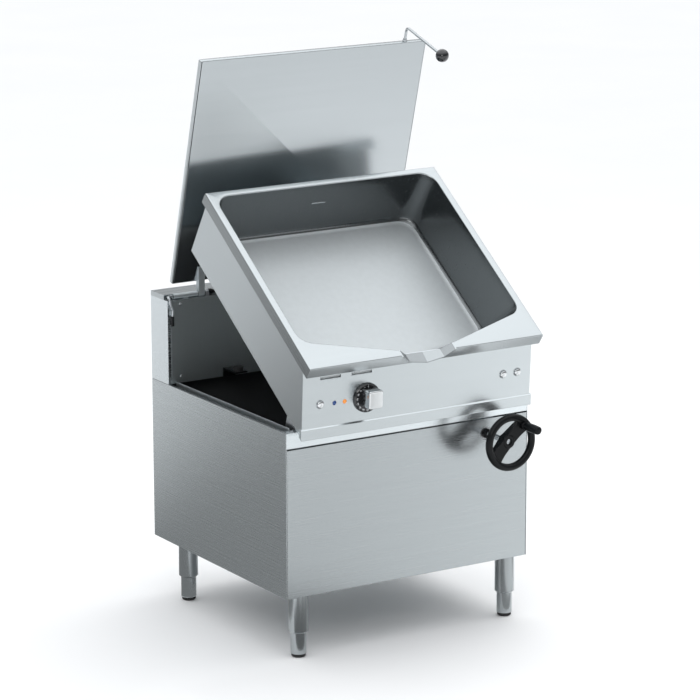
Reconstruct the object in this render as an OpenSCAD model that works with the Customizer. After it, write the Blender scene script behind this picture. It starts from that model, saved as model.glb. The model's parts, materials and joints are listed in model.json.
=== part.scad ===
// Tilting bratt pan on a cabinet, shown with the pan tilted and the lid open.
// Millimetres. X runs to the right, Y to the back, Z up from the floor.

/* [Cabinet] */
// Width of the cabinet, which is that of the kitchen module
cab_w = 800; // [790:1:810]
// Depth of the cabinet from its front face to its back
cab_d = 750; // [745:1:756]
// Height of the cabinet's underside above the floor
leg_h = 179; // [170:1:200]
// Height of the side panels
side_h = 471; // [468:1:480]
// Thickness of the panels' sheet
sheet = 2; // [1.6:0.1:2.4]
// Depth of the folded edges of the front panel
panel_fold = 14; // [8:1:16]
// Gap round the front panel
panel_gap = 1.2; // [0.8:0.1:2]
// Height of the cross rail above the front panel
rail_h = 44.5; // [40:0.5:50]
// Depth of the cross rail
rail_d = 24; // [20:1:26]
// Gap between the front panel and the cross rail
rail_gap = 4.5; // [3:0.5:6]
// Width of the side panels' top fold
top_fold = 10; // [8:1:14]
// Distance of the gutter's inner wall from the outside
gutter_w = 26; // [22:1:28]
// Height of the gutter's inner wall above the side panel
gutter_rise = 7; // [4:1:9]
// Depth of the gutter's floor below the side panel's top
gutter_drop = 32; // [26:1:40]

/* [Column] */
// Depth of the rear column
column_d = 98; // [94:1:102]
// Height of the column's ledge above the side panels
column_h = 246.7; // [240:0.5:255]
// Height of the cover on the column
cover_h = 14; // [10:1:18]
// Distance of the cover's front from the column's front
cover_set = 22; // [21:1:26]
// Width of the column's folded front edges
column_fold = 8; // [6:1:10]

/* [Legs] */
// Distance of the legs from the cabinet's sides
leg_inset_x = 54; // [44:1:60]
// Distance of the front legs from the front face
leg_inset_front = 30; // [29:1:60]
// Distance of the rear legs from the back
leg_inset_rear = 103; // [60:1:120]
// Diameter of the legs' upper tubes
leg_d = 56; // [52:1:58]
// Height of the upper tubes' lower end above the floor
leg_shoulder = 71; // [50:1:90]
// Diameter of the feet's tubes
foot_d = 44; // [38:1:46]
// Height of the feet's pads
pad_h = 10; // [6:1:14]
// Diameter of the feet's pads
pad_d = 40; // [34:1:43]

/* [Pan pose and pivot] */
// Tilt of the pan as shown, from level
tilt_shown = 35.25; // [30:0.25:40]
// Tilt that the drive gives from level to its rear stop
tilt_full = 44; // [42:0.5:44]
// Distance of the pan's pivot behind the cabinet's front face
pivot_back = 8; // [6:0.5:10]
// Height of the pan's pivot above the side panels
pivot_rise = 117; // [115:0.5:122]
// Distance of the pivot behind the pan's front lip
pivot_u = 41; // [39:0.5:43]
// Depth of the pivot below the pan's rim
pivot_h = 127.5; // [124:0.5:130]

/* [Pan deck] */
// Distance of the deck's edges from the cabinet's sides
deck_inset = 18; // [17:1:25]
// Gap between the level deck and the column
rim_gap = 4; // [3.4:0.1:6]
// Height of the lip folded down round the deck
lip_h = 36; // [32:1:40]
// Thickness of the pan's sheet
pan_sheet = 3; // [2:0.5:4]
// Width of the deck beside the well
side_rim = 20; // [18:1:26]
// Width of the deck behind the well
rear_rim = 18; // [17:1:22]
// Width of the deck in front of the well at the spout
front_rim = 20; // [19:1:24]
// Distance of the well's front corners from the lip
shoulder_u = 100; // [90:1:110]
// Radius of the well's corners
corner_r = 48; // [40:1:54]

/* [Well] */
// Depth of the well
well_deep = 178; // [170:1:180]
// Radius of the well's lower edge
cove_r = 20; // [14:1:26]
// Inward lean of the well's walls over the depth
wall_draft = 12; // [12:1:18]
// Run of the well's front wall towards the back at the spout
front_run = 130; // [128:1:136]
// Run of the well's front wall towards the back at the corners
shoulder_run = 50; // [44:1:54]
// Thickness of the plate under the well
plate_t = 8; // [6:1:9]
// Diameter of the tubular heating elements
element_d = 7; // [6:0.5:8]
// Number of heating elements
element_count = 4; // [3:1:5]

/* [Spout] */
// Width of the spout's notch at the deck
spout_w = 170; // [150:1:190]
// Width of the spout's floor
spout_floor_w = 113; // [100:1:120]
// Depth of the spout
spout_deep = 25; // [20:1:27]
// Reach of the spout past the lip
spout_reach = 10; // [6:1:14]

/* [Casing] */
// Reach of the deck past the casing's sides
casing_inset = 7; // [6:1:11]
// Depth of the casing's lower edge below the rim
casing_h = 204; // [202:1:206]
// Reach of the deck behind the casing
rear_reach = 12; // [10:0.5:12]
// Inward lean of the casing's rear wall
rear_lean = 14; // [6:1:14]
// Slope of the fascia from the pan's upright
fascia_angle = 32; // [30:0.5:33]
// Reach of the fascia's foot in front of the lip
fascia_foot = 73.5; // [70:0.5:76]
// Height of the band along the fascia's foot
band_h = 29.5; // [24:0.5:34]
// Thickness of that band
band_t = 4; // [2:0.5:5]
// Distance of the casing's floor from the lip
tray_front = 100; // [96:1:108]

/* [Controls] */
// Height of the controls above the fascia's foot
control_up = 93.5; // [88:0.5:99]
// Distance of the first button from the casing's left side
button_left_in = 55.4; // [49:0.2:63]
// Distance of the blue lamp from the casing's left side
lamp_blue_in = 101.7; // [95:0.1:105]
// Distance of the orange lamp from the casing's left side
lamp_orange_in = 134.4; // [129:0.2:137]
// Distance of the knob from the casing's left side
knob_in = 204; // [199:1:209]
// Distance of the inner right button from the casing's right side
button_inner_in = 93; // [89:1:99]
// Distance of the outer right button from the casing's right side
button_outer_in = 45; // [41:1:55]
// Diameter of the buttons
button_d = 20; // [18:0.5:22]
// Height of the buttons out of the fascia
button_out = 7; // [6:0.5:9]
// Travel of the buttons
button_travel = 3; // [2:0.5:4]
// Diameter of the pilot lamps
lamp_d = 13; // [12.6:0.1:15]
// Diameter of the knob's dial
dial_d = 84; // [78:1:88]
// Thickness of the knob's dial
dial_t = 8; // [6:1:10]
// Width of the knob's grip
grip_w = 47; // [40:1:50]
// Height of the knob's grip
grip_h = 53; // [48:1:58]
// Reach of the knob's grip out of the dial
grip_t = 43; // [36:1:46]

/* [Lid] */
// Angle of the lid from level, as shown
lid_angle = 74.5; // [72:0.5:76]
// Distance of the lid's edges from the deck's edges
lid_inset = 9; // [7:1:17]
// Length of the lid
lid_l = 690; // [670:1:700]
// Thickness of the lid
lid_t = 16; // [12:1:20]
// Thickness of the lid's sheet
lid_sheet = 1.5; // [1.2:0.1:2]
// Distance of the lid's lower edge from the hinge axis
lid_off = 31; // [30:1:34]
// Distance of the lid's inner face behind the hinge axis
lid_back = 16.6; // [15:0.2:18]
// Height of the hinge axis above the column's ledge
hinge_up = 9.5; // [9.4:0.1:11]
// Distance of the hinge axis behind the column's front
hinge_in = 11; // [10.5:0.1:12]
// Diameter of the hinge shaft
hinge_d = 10; // [8:1:11]
// Distance of the hinge lugs' outer faces from the cabinet's sides
lug_in = 128; // [124:1:140]
// Distance of the lid's handle from the lid's right edge
handle_in = 69; // [63:1:83]
// Diameter of the handle's rod
handle_d = 8; // [6:0.5:10]
// Height of the handle's rod above the lid
handle_up = 43; // [38:1:50]
// Reach of the handle's ball from the lid's inner face
handle_reach = 184; // [170:1:190]
// Diameter of the handle's ball
ball_d = 38; // [34:1:42]

/* [Handwheel and drive] */
// Distance of the handwheel from the cabinet's right side
wheel_in = 140; // [138:1:150]
// Depth of the drive's axis below the side panels' top
screw_drop = 92; // [90:1:96]
// Distance of the handwheel's middle in front of the cabinet
wheel_out = 118; // [112:1:124]
// Outer diameter of the handwheel
wheel_d = 161; // [156:1:166]
// Diameter of the handwheel's rim
wheel_rim_d = 18; // [16:1:20]
// Width of the handwheel's web
web_w = 40; // [34:1:44]
// Angle of the handwheel's web
web_angle = 44; // [30:1:60]
// Distance of the grip from the handwheel's axis
grip_r = 62; // [60:1:64]
// Diameter of the grip
grip_d = 24; // [22:1:26]
// Reach of the grip in front of the handwheel's middle
grip_reach = 74; // [66:1:80]
// Diameter of the spindle between wheel and cabinet
spindle_d = 16; // [14:1:17]
// Diameter of the lead screw
screw_d = 20; // [18:1:22]
// Distance of the nut behind the front face with the pan level
nut_start = 75; // [74:0.5:80]
// Travel of the nut over the full tilt
nut_travel = 245; // [235:1:246]
// Thickness of the tilting lever's plates
lever_t = 8; // [6:1:9]
// Radius of the lever's ends round its slot
lever_r = 20; // [18:1:21]

/* [Hidden] */

// Overrun of every cut, and the clearances of the fits
cut = 1;
run_gap = 0.05;
press_gap = 0.02;
slide_gap = 0.3;
slot_gap = 0.35;
// Thickness of a hull's slices
slice_t = 0.2;
$fn = 48;

// Colours
STEEL = [0.74, 0.77, 0.79];
DARK_STEEL = [0.36, 0.38, 0.39];
BRIGHT = [0.86, 0.88, 0.9];
BLACK = [0.06, 0.06, 0.07];
BRONZE = [0.72, 0.52, 0.28];
ZINC = [0.62, 0.64, 0.66];

// Heights and depths that follow from the sizes above
cab_top = leg_h + side_h;
inner_x = cab_w / 2 - sheet;
column_y = cab_d - column_d;
ledge_z = cab_top + column_h;
pivot_z = cab_top + pivot_rise;
screw_z = cab_top - screw_drop;
grip_tip_y = -(wheel_out + grip_reach);
mid_y = (cab_d + grip_tip_y) / 2;

// Cabinet details
rail_z = cab_top - rail_h;
panel_top = rail_z - rail_gap;
base_fold = 20;
base_front = panel_fold;
foot_in = 40;
leg_chamfer = 4;
pad_round = 3;
column_return = 56;
side_seam = 1.2;

// Pan details
rim_w = cab_w - 2 * deck_inset;
casing_w = rim_w - 2 * casing_inset;
rim_d = column_y - rim_gap + pivot_u - pivot_back;
well_x = rim_w / 2 - side_rim;
well_rear = rim_d - rear_rim;
floor_under = well_deep + pan_sheet;
plate_margin = 4;
plate_inset = cove_r + wall_draft + plate_margin;
element_bend_r = 30;
element_front = 40;
element_rear = 60;
element_pitch = 150;
tray_fold = 12;
casing_x = casing_w / 2;
rear_top = rim_d - rear_reach;
rear_bottom = rear_top - rear_lean;
fascia_return = 28;
fascia_skin = sheet / cos(fascia_angle);
fascia_top = -fascia_foot + (casing_h - lip_h) * tan(fascia_angle);
spout_end = front_rim + front_run * spout_deep / well_deep;
band_wrap = 9;
band_slope = 4;
vent_l = 66;
vent_h = 8;
vent_up = 166.5;
vent_in = 87;
vent_pitch = 100;
vent_x = [for (i = [0, 1]) vent_in + i * vent_pitch - casing_x];
mark_w = 46;
mark_h = 7;
mark_low = 72;
mark_t = 1;

// Controls
button_left_x = button_left_in - casing_x;
lamp_blue_x = lamp_blue_in - casing_x;
lamp_orange_x = lamp_orange_in - casing_x;
knob_x = knob_in - casing_x;
button_inner_x = casing_x - button_inner_in;
button_outer_x = casing_x - button_outer_in;
right_raise = 5;
spindle_hole_d = 14;
thermostat_w = 52;
thermostat_t = 36;
knob_stem_d = 8;
knob_stem_l = 30;
dial_gap = 0.5;
dial_bevel = 2;
grip_taper = 3.5;
grip_base_t = 6;
barrel_wall = 3;
button_body = 8;
stem_d = 8;
stem_l = 14;
stem_stop = 2;
lamp_out = 4;
lamp_l = 26;
lamp_step = 0.5;

// Trunnions and their brackets
trunnion_d = 20;
trunnion_flange_d = 50;
trunnion_flange_t = 6;
bracket_in = 40;
bracket_x = cab_w / 2 - bracket_in;
bracket_t = 8;
bracket_r = 22;
bracket_foot_w = 42;
bracket_foot_t = 6;
bracket_root = 46;
bush_wall = 3;
bush_flange = 3;
bush_flange_t = 2;
ring_t = 3;
ring_gap = 2;

// Lid, hinge and counterbalance details
lid_w = rim_w - 2 * lid_inset;
handle_x = lid_w / 2 - handle_in;
lug_x = cab_w / 2 - lug_in;
hinge_y = column_y + hinge_in;
hinge_z = ledge_z + hinge_up;
lug_t = 10;
lug_w = 20;
lug_r = 9;
arm_t = 20;
arm_gap = 3;
arm_r = 9;
arm_pad = 44;
arm_pad_t = 4;
arm_heel = 6;
cap_d = 18;
cap_t = 12;
torsion_tube_d = 15;
torsion_tube_wall = 1.5;
torsion_tube_x = lug_x + arm_gap + arm_t + sheet;
saddle_w = 12;
saddle_in = 64;
saddle_x = cab_w / 2 - saddle_in;
torsion_bar_d = 7;
torsion_end_in = 24;
torsion_end_x = cab_w / 2 - torsion_end_in;
torsion_leg_in = 13;
torsion_leg_x = cab_w / 2 - torsion_leg_in;
sleeve_d = 10;
sleeve_h = 28;
sleeve_low = 69.5;
ferrule_h = 16;
ferrule_low_d = 26;
ferrule_high_d = 11;
handle_bend_r = 13;
handle_droop = 2.5;
handle_turn = 90 + handle_droop;
handle_rise = handle_up - handle_bend_r;
handle_run = handle_reach + lid_t / 2 - handle_bend_r;
// The handle's bend as three corners round its arc, in the lid's Y and Z
handle_corners = [for (k = [1, 3, 5]) let (
    q = k * handle_turn / 6,
    far = handle_bend_r / cos(handle_turn / 6)
) [0, handle_rise + far * sin(q), handle_bend_r - far * cos(q)]];
handle_dir = [0, cos(handle_turn), sin(handle_turn)];
handle_end = [
    0,
    handle_rise + handle_bend_r * sin(handle_turn),
    handle_bend_r - handle_bend_r * cos(handle_turn)
] + handle_run * handle_dir;
lid_corner = 14;

// Drive details
wheel_x = cab_w / 2 - wheel_in;
upright_w = 70;
upright_gap = 4;
upright_y = base_front + upright_gap;
upright_d = 18;
bearing_flange_d = 60;
bearing_flange_t = 5;
bearing_barrel_d = 36;
boss_d = 34;
boss_t = 14;
hub_d = 38;
hub_front = -4;
hub_back = -34;
hub_cup_d = 27;
hub_cup = 9;
web_back = -13;
web_t = 7;
web_in = 5.5;
grip_boss_low = -10;
grip_boss_top = 11;
grip_axle_d = 8;
grip_round = 4;
collar_d = 28;
collar_t = 6;
nut_w = 32;
nut_l = 40;
nut_h = 32;
nut_pin_d = 12;
lever_gap = 4;
screw_runout = 8;
screw_back = nut_start + nut_travel + nut_l / 2 + screw_runout;
rear_bearing_t = 8;
rear_bearing_h = 60;
rear_bush_wall = 4;
rear_fold = 18;
lever_flange_t = 6;
lever_flange_l = 76;
lever_root = 70;
slot_steps = 22;

// Electric parts in the cabinet
box_w = 180;
box_d = 80;
box_h = 220;
box_in = 160;
box_x = box_in - cab_w / 2;
box_up = 24;
gland_x = box_x;
gland_y = 560;
gland_d = 30;
gland_nut_d = 38;
gland_nut_t = 8;
gland_drop = 26;
gland_bore = 16;

// Rests for the level pan
rest_x = 200;
rest_w = 40;
rest_l = 74;
rest_t = 4;
rest_inset = 18;
buffer_d = 30;
buffer_h = 12;
casing_down_z = pivot_z - (casing_h - pivot_h);

// Screws of the column's front plate
screw_head_d = 9;
screw_head_t = 2.4;
screw_edge_x = 42;
screw_low = 21;
screw_high = 13;

module at_cabinet() translate([0, -mid_y, 0]) children();

// In the pan's frame, Y runs back along the rim from the front lip and Z is square to the rim.
module at_pan() {
    at_cabinet()
        translate([0, pivot_back, pivot_z])
            rotate([tilt_shown, 0, 0])
                translate([0, -pivot_u, pivot_h])
                    children();
}

// On the fascia, Y runs up from its foot and Z points out of it.
module at_fascia(x = 0, up = 0) {
    at_pan()
        translate([x, -fascia_foot + up * sin(fascia_angle), -casing_h + up * cos(fascia_angle)])
            rotate([90 - fascia_angle, 0, 0])
                children();
}

// On the lid, Y runs from the lower edge to the free edge and Z points out of the inner face.
module at_lid() {
    at_cabinet()
        translate([0, hinge_y, hinge_z])
            rotate([180 - lid_angle, 0, 0])
                translate([0, lid_off, -lid_back])
                    children();
}

// On the handwheel, Z runs along the spindle towards the user.
module at_wheel() {
    at_cabinet() translate([wheel_x, -wheel_out, screw_z]) rotate([90, 0, 0]) children();
}

module mirrored() {
    children();
    mirror([1, 0, 0]) children();
}

// A cylinder along X, from x0 to x1
module rod_x(x0, x1, r) translate([x0, 0, 0]) rotate([0, 90, 0]) cylinder(h = x1 - x0, r = r);

// A cylinder along Y, from y0 to y1
module rod_y(y0, y1, r) translate([0, y1, 0]) rotate([90, 0, 0]) cylinder(h = y1 - y0, r = r);

// A round bar from one point to another
module link(a, b, r) {
    d = b - a;
    translate(a) rotate([0, acos(d[2] / norm(d)), atan2(d[1], d[0])]) cylinder(h = norm(d), r = r);
}

// A bent bar through several points, with round corners
module chain(points, r) {
    for (i = [1 : len(points) - 1]) link(points[i - 1], points[i], r);
    for (i = [1 : len(points) - 2]) translate(points[i]) sphere(r = r);
}

// A box given by its low and high corners
module box(low, high) translate(low) cube(high - low);

// An outline in Y and Z, extruded along X from x0 to x1
module along_x(x0, x1) translate([x0, 0, 0]) rotate([90, 0, 90]) linear_extrude(x1 - x0) children();

// An outline in X and Z, extruded along Y from y0 to y1
module along_y(y0, y1) translate([0, y1, 0]) rotate([90, 0, 0]) linear_extrude(y1 - y0) children();

// Side panel with its folded top and bottom edges
module side_panel() {
    color(STEEL) at_cabinet() {
        box([inner_x, 0, leg_h], [cab_w / 2, cab_d, cab_top]);
        box([cab_w / 2 - top_fold, rail_d, cab_top - sheet], [inner_x, column_y, cab_top]);
        box([inner_x - base_fold, base_front + sheet, leg_h + sheet], [inner_x, cab_d - sheet, leg_h + 2 * sheet]);
    }
}

module side_panel_right() side_panel();

module side_panel_left() mirror([1, 0, 0]) side_panel();

module rear_panel() {
    color(STEEL) at_cabinet()
        box([-inner_x, cab_d - sheet, leg_h + sheet], [inner_x, cab_d, cab_top]);
}

module base_panel() {
    color(STEEL) at_cabinet() difference() {
        union() {
            box([-inner_x, base_front, leg_h], [inner_x, cab_d, leg_h + sheet]);
            box([-inner_x, base_front, leg_h + sheet], [inner_x, base_front + sheet, leg_h + base_fold]);
        }
        translate([gland_x, gland_y, leg_h - cut]) cylinder(h = sheet + 2 * cut, d = gland_d + 2 * slide_gap);
    }
}

module front_panel() {
    half = inner_x - panel_gap;
    color(STEEL) at_cabinet() difference() {
        box([-half, 0, leg_h], [half, panel_fold, panel_top]);
        box([-half + sheet, sheet, leg_h + sheet], [half - sheet, panel_fold + cut, panel_top - sheet]);
        translate([wheel_x, 0, screw_z]) rod_y(-cut, sheet + cut, bearing_barrel_d / 2 + 2 * slide_gap);
    }
}

module front_rail() {
    color(STEEL) at_cabinet() along_x(-inner_x, inner_x) difference() {
        translate([0, rail_z]) square([rail_d, rail_h]);
        translate([sheet, rail_z + sheet]) square([rail_d - 2 * sheet, rail_h - 2 * sheet]);
    }
}

// Gutter between a side panel and the opening, with its raised inner wall
module gutters() {
    wall = cab_w / 2 - gutter_w;
    floor_z = cab_top - gutter_drop;
    color(STEEL) at_cabinet() mirrored() along_y(rail_d, column_y) union() {
        translate([wall, floor_z]) square([inner_x - wall, sheet]);
        translate([inner_x - sheet, floor_z]) square([sheet, gutter_drop - 2 * sheet]);
        translate([wall, floor_z]) square([sheet, gutter_drop + gutter_rise]);
    }
}

module column_shell() {
    color(STEEL) at_cabinet() {
        box([-cab_w / 2, column_y, ledge_z - sheet], [cab_w / 2, cab_d, ledge_z]);
        box([-inner_x, cab_d - sheet, cab_top], [inner_x, cab_d, ledge_z - sheet]);
        mirrored() {
            box([inner_x, column_y, cab_top + side_seam], [cab_w / 2, cab_d, ledge_z - sheet]);
            box([inner_x - column_fold, column_y, cab_top], [inner_x, column_y + sheet, ledge_z - sheet]);
        }
        difference() {
            mirrored() box([inner_x - column_return, column_y + sheet, cab_top + sheet],
                [inner_x, column_y + 2 * sheet, ledge_z - sheet]);
            column_screw_places() rod_y(-cut, 2 * sheet + cut, screw_head_d / 4 + slide_gap);
        }
    }
}

module column_front_plate() {
    half = inner_x - column_fold - slide_gap;
    color(DARK_STEEL) at_cabinet() difference() {
        box([-half, column_y, cab_top + sheet], [half, column_y + sheet, ledge_z - sheet]);
        column_screw_places() rod_y(-cut, sheet + cut, screw_head_d / 4 + slide_gap);
    }
}

module column_cover() {
    color(STEEL) at_cabinet() difference() {
        box([-cab_w / 2, column_y + cover_set, ledge_z], [cab_w / 2, cab_d, ledge_z + cover_h]);
        box([-inner_x, column_y + cover_set + sheet, ledge_z - cut], [inner_x, cab_d - sheet, ledge_z + cover_h - sheet]);
    }
}

module column_screw_places() {
    mirrored() for (z = [cab_top + screw_low, ledge_z - screw_high])
        translate([cab_w / 2 - screw_edge_x, column_y, z]) children();
}

module column_screws() {
    color(ZINC) at_cabinet() column_screw_places() {
        rod_y(-screw_head_t, 0, screw_head_d / 2);
        rod_y(0, 3 * sheet, screw_head_d / 4);
    }
}

module leg_places() {
    for (x = [-1, 1]) for (y = [leg_inset_front, cab_d - leg_inset_rear])
        translate([x * (cab_w / 2 - leg_inset_x), y, 0]) children();
}

module leg_tubes() {
    color(STEEL) at_cabinet() leg_places() difference() {
        union() {
            translate([0, 0, leg_shoulder + leg_chamfer])
                cylinder(h = leg_h - leg_shoulder - leg_chamfer, d = leg_d);
            translate([0, 0, leg_shoulder])
                cylinder(h = leg_chamfer, d1 = leg_d - 2 * leg_chamfer, d2 = leg_d);
        }
        translate([0, 0, leg_shoulder - cut])
            cylinder(h = foot_in + cut, d = foot_d + 2 * run_gap);
    }
}

module foot_tubes() {
    color(STEEL) at_cabinet() leg_places()
        translate([0, 0, pad_h]) cylinder(h = leg_shoulder + foot_in - slide_gap - pad_h, d = foot_d);
}

module foot_pads() {
    color(BLACK) at_cabinet() leg_places() {
        cylinder(h = pad_round, d1 = pad_d - 2 * pad_round, d2 = pad_d);
        translate([0, 0, pad_round]) cylinder(h = pad_h - pad_round, d = pad_d);
    }
}

// Bracket that rises from the cross rail to the pan's pivot
module pivot_bracket() {
    root_z = cab_top - bracket_root;
    color(ZINC) at_cabinet() {
        difference() {
            union() {
                along_x(bracket_x - bracket_t, bracket_x) polygon([
                    [pivot_back - bracket_r, pivot_z],
                    [rail_d + bracket_foot_t, cab_top],
                    [rail_d + bracket_foot_t, root_z],
                    [rail_d + bracket_root, root_z],
                    [rail_d + bracket_root, cab_top],
                    [pivot_back + bracket_r, pivot_z]
                ]);
                translate([0, pivot_back, pivot_z]) rod_x(bracket_x - bracket_t, bracket_x, bracket_r);
            }
            translate([0, pivot_back, pivot_z])
                rod_x(bracket_x - bracket_t - cut, bracket_x + cut, trunnion_d / 2 + bush_wall);
        }
        box([bracket_x - bracket_t / 2 - bracket_foot_w / 2, rail_d, root_z],
            [min(bracket_x - bracket_t / 2 + bracket_foot_w / 2, cab_w / 2 - gutter_w - slide_gap),
             rail_d + bracket_foot_t, cab_top - 2 * sheet]);
    }
}

module pivot_bracket_right() pivot_bracket();

module pivot_bracket_left() mirror([1, 0, 0]) pivot_bracket();

// Bushes of the pan's trunnions and of the screw's rear end
module bearing_bushes() {
    color(BRONZE) at_cabinet() {
        mirrored() translate([0, pivot_back, pivot_z]) difference() {
            union() {
                rod_x(bracket_x - bracket_t, bracket_x, trunnion_d / 2 + bush_wall - press_gap);
                rod_x(bracket_x, bracket_x + bush_flange_t, trunnion_d / 2 + bush_wall + bush_flange);
            }
            rod_x(bracket_x - bracket_t - cut, bracket_x + bush_flange_t + cut, trunnion_d / 2 + run_gap);
        }
        translate([wheel_x, 0, screw_z]) difference() {
            rod_y(screw_back, screw_back + rear_bearing_t, spindle_d / 2 + rear_bush_wall - press_gap);
            rod_y(screw_back - cut, screw_back + rear_bearing_t + cut, spindle_d / 2 + run_gap);
        }
    }
}

// Lugs on the column's ledge that carry the lid's hinge shaft
module lid_hinge_lugs() {
    color(ZINC) at_cabinet() mirrored() difference() {
        union() {
            box([lug_x - lug_t, hinge_y - lug_w / 2, ledge_z], [lug_x, hinge_y + lug_w / 2, hinge_z]);
            translate([0, hinge_y, hinge_z]) rod_x(lug_x - lug_t, lug_x, lug_r);
        }
        translate([0, hinge_y, hinge_z]) rod_x(lug_x - lug_t - cut, lug_x + cut, hinge_d / 2 + run_gap);
    }
}

// Tubes along the ledge that house the counterbalance's torsion bars
module torsion_tubes() {
    color(BRIGHT) at_cabinet() mirrored() difference() {
        union() {
            translate([0, hinge_y, hinge_z]) rod_x(torsion_tube_x, torsion_end_x, torsion_tube_d / 2);
            box([saddle_x - saddle_w / 2, hinge_y - saddle_w / 2, ledge_z],
                [saddle_x + saddle_w / 2, hinge_y + saddle_w / 2, hinge_z]);
        }
        translate([0, hinge_y, hinge_z])
            rod_x(torsion_tube_x - cut, torsion_end_x + cut, torsion_tube_d / 2 - torsion_tube_wall);
    }
}

// Torsion bar whose end comes down in front of the column and bears on it
module torsion_bar() {
    leg_y = column_y - sleeve_d / 2 - slide_gap;
    r = torsion_bar_d / 2;
    color(BRIGHT) at_cabinet() {
        translate([0, hinge_y, hinge_z]) rod_x(-torsion_leg_x, -torsion_tube_x, r);
        translate([-torsion_leg_x, hinge_y, hinge_z]) sphere(r = r);
        translate([-torsion_leg_x, 0, hinge_z]) rod_y(leg_y, hinge_y, r);
        translate([-torsion_leg_x, leg_y, hinge_z]) sphere(r = r);
        translate([-torsion_leg_x, leg_y, ledge_z - sleeve_low]) cylinder(h = hinge_z - ledge_z + sleeve_low, r = r);
    }
}

module torsion_sleeve() {
    leg_y = column_y - sleeve_d / 2 - slide_gap;
    color(BLACK) at_cabinet() translate([-torsion_leg_x, leg_y, ledge_z - sleeve_low]) difference() {
        translate([0, 0, -torsion_bar_d / 2]) cylinder(h = sleeve_h, d = sleeve_d);
        cylinder(h = sleeve_h + cut, d = torsion_bar_d + 2 * press_gap);
    }
}

// Channel behind the front panel that carries the spindle's front bearing
module drive_upright() {
    half = upright_w / 2;
    color(ZINC) at_cabinet() difference() {
        translate([wheel_x, upright_y, leg_h + sheet]) linear_extrude(rail_z - leg_h - sheet) union() {
            translate([-half, 0]) square([upright_w, 2 * sheet]);
            translate([-half, 0]) square([2 * sheet, upright_d]);
            translate([half - 2 * sheet, 0]) square([2 * sheet, upright_d]);
        }
        translate([wheel_x, 0, screw_z]) rod_y(upright_y - cut, upright_y + 2 * sheet + cut, bearing_barrel_d / 2);
    }
}

module spindle_bearing() {
    web_y = upright_y + 2 * sheet;
    color(ZINC) at_cabinet() translate([wheel_x, 0, screw_z]) difference() {
        union() {
            rod_y(sheet, web_y, bearing_barrel_d / 2 - press_gap);
            rod_y(web_y, web_y + bearing_flange_t, bearing_flange_d / 2);
        }
        rod_y(0, web_y + bearing_flange_t + cut, spindle_d / 2 + run_gap);
    }
}

module spindle_boss() {
    color(BLACK) at_cabinet() translate([wheel_x, 0, screw_z]) difference() {
        union() {
            rod_y(-boss_t, 0, boss_d / 2);
            rod_y(-sheet, 0, bearing_barrel_d / 2 + 4 * sheet);
        }
        rod_y(-boss_t - cut, cut, spindle_d / 2 + slide_gap);
    }
}

// Plate on the right side panel that carries the screw's rear end
module rear_bearing_bracket() {
    color(ZINC) at_cabinet() difference() {
        union() {
            box([wheel_x - rear_bearing_h / 2, screw_back, screw_z - rear_bearing_h / 2],
                [inner_x - sheet, screw_back + rear_bearing_t, screw_z + rear_bearing_h / 2]);
            box([inner_x - sheet, screw_back - rear_fold, screw_z - rear_bearing_h / 2],
                [inner_x, screw_back + rear_bearing_t + rear_fold, screw_z + rear_bearing_h / 2]);
        }
        translate([wheel_x, 0, screw_z])
            rod_y(screw_back - cut, screw_back + rear_bearing_t + cut, spindle_d / 2 + rear_bush_wall);
    }
}

module terminal_box() {
    color(STEEL) at_cabinet() difference() {
        box([box_x - box_w / 2, cab_d - sheet - box_d, leg_h + box_up],
            [box_x + box_w / 2, cab_d - sheet, leg_h + box_up + box_h]);
        box([box_x - box_w / 2 + sheet, cab_d - box_d, leg_h + box_up + sheet],
            [box_x + box_w / 2 - sheet, cab_d - 2 * sheet, leg_h + box_up + box_h - sheet]);
    }
}

module cable_gland() {
    color(BLACK) at_cabinet() translate([gland_x, gland_y, leg_h]) difference() {
        union() {
            translate([0, 0, -gland_drop]) cylinder(h = gland_drop, d = gland_d);
            translate([0, 0, -gland_nut_t]) cylinder(h = gland_nut_t, d = gland_nut_d, $fn = 6);
            cylinder(h = sheet, d = gland_d);
            translate([0, 0, sheet]) cylinder(h = gland_nut_t, d = gland_nut_d, $fn = 6);
        }
        translate([0, 0, -gland_drop - cut])
            cylinder(h = gland_drop + sheet + gland_nut_t + 2 * cut, d = gland_bore);
    }
}

// Angles on the column's front that carry the buffers for the level pan
module rest_brackets() {
    shelf_z = casing_down_z - slide_gap - buffer_h;
    color(ZINC) at_cabinet() mirrored() {
        box([rest_x - rest_w / 2, column_y - rest_l, shelf_z - rest_t], [rest_x + rest_w / 2, column_y, shelf_z]);
        box([rest_x - rest_w / 2, column_y - rest_t, cab_top + sheet],
            [rest_x + rest_w / 2, column_y, shelf_z - rest_t]);
    }
}

module rest_buffers() {
    shelf_z = casing_down_z - slide_gap - buffer_h;
    color(BLACK) at_cabinet() mirrored()
        translate([rest_x, column_y - rest_l + rest_inset, shelf_z]) cylinder(h = buffer_h, d = buffer_d);
}

// Outline of the well at a depth, drawn in by an inset
module well_outline(deep, inset = 0) {
    share = deep / well_deep;
    nose = front_rim + front_run * share;
    shoulder = shoulder_u + shoulder_run * share;
    offset(r = corner_r) offset(delta = -corner_r - inset) polygon([
        [-spout_w / 2, nose], [spout_w / 2, nose],
        [well_x, shoulder], [well_x, well_rear],
        [-well_x, well_rear], [-well_x, shoulder]
    ]);
}

// The well's hollow, or with a skin the solid round it
module well_form(top, skin) {
    turns = [0, 30, 60, 90];
    wall_low = well_deep - cove_r;
    hull() {
        translate([0, 0, -top]) linear_extrude(slice_t) well_outline(0, -skin);
        for (turn = turns)
            translate([0, 0, -wall_low - (cove_r + skin) * sin(turn)])
                linear_extrude(slice_t)
                    well_outline(wall_low + cove_r * sin(turn), wall_draft + cove_r - (cove_r + skin) * cos(turn));
    }
}

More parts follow.
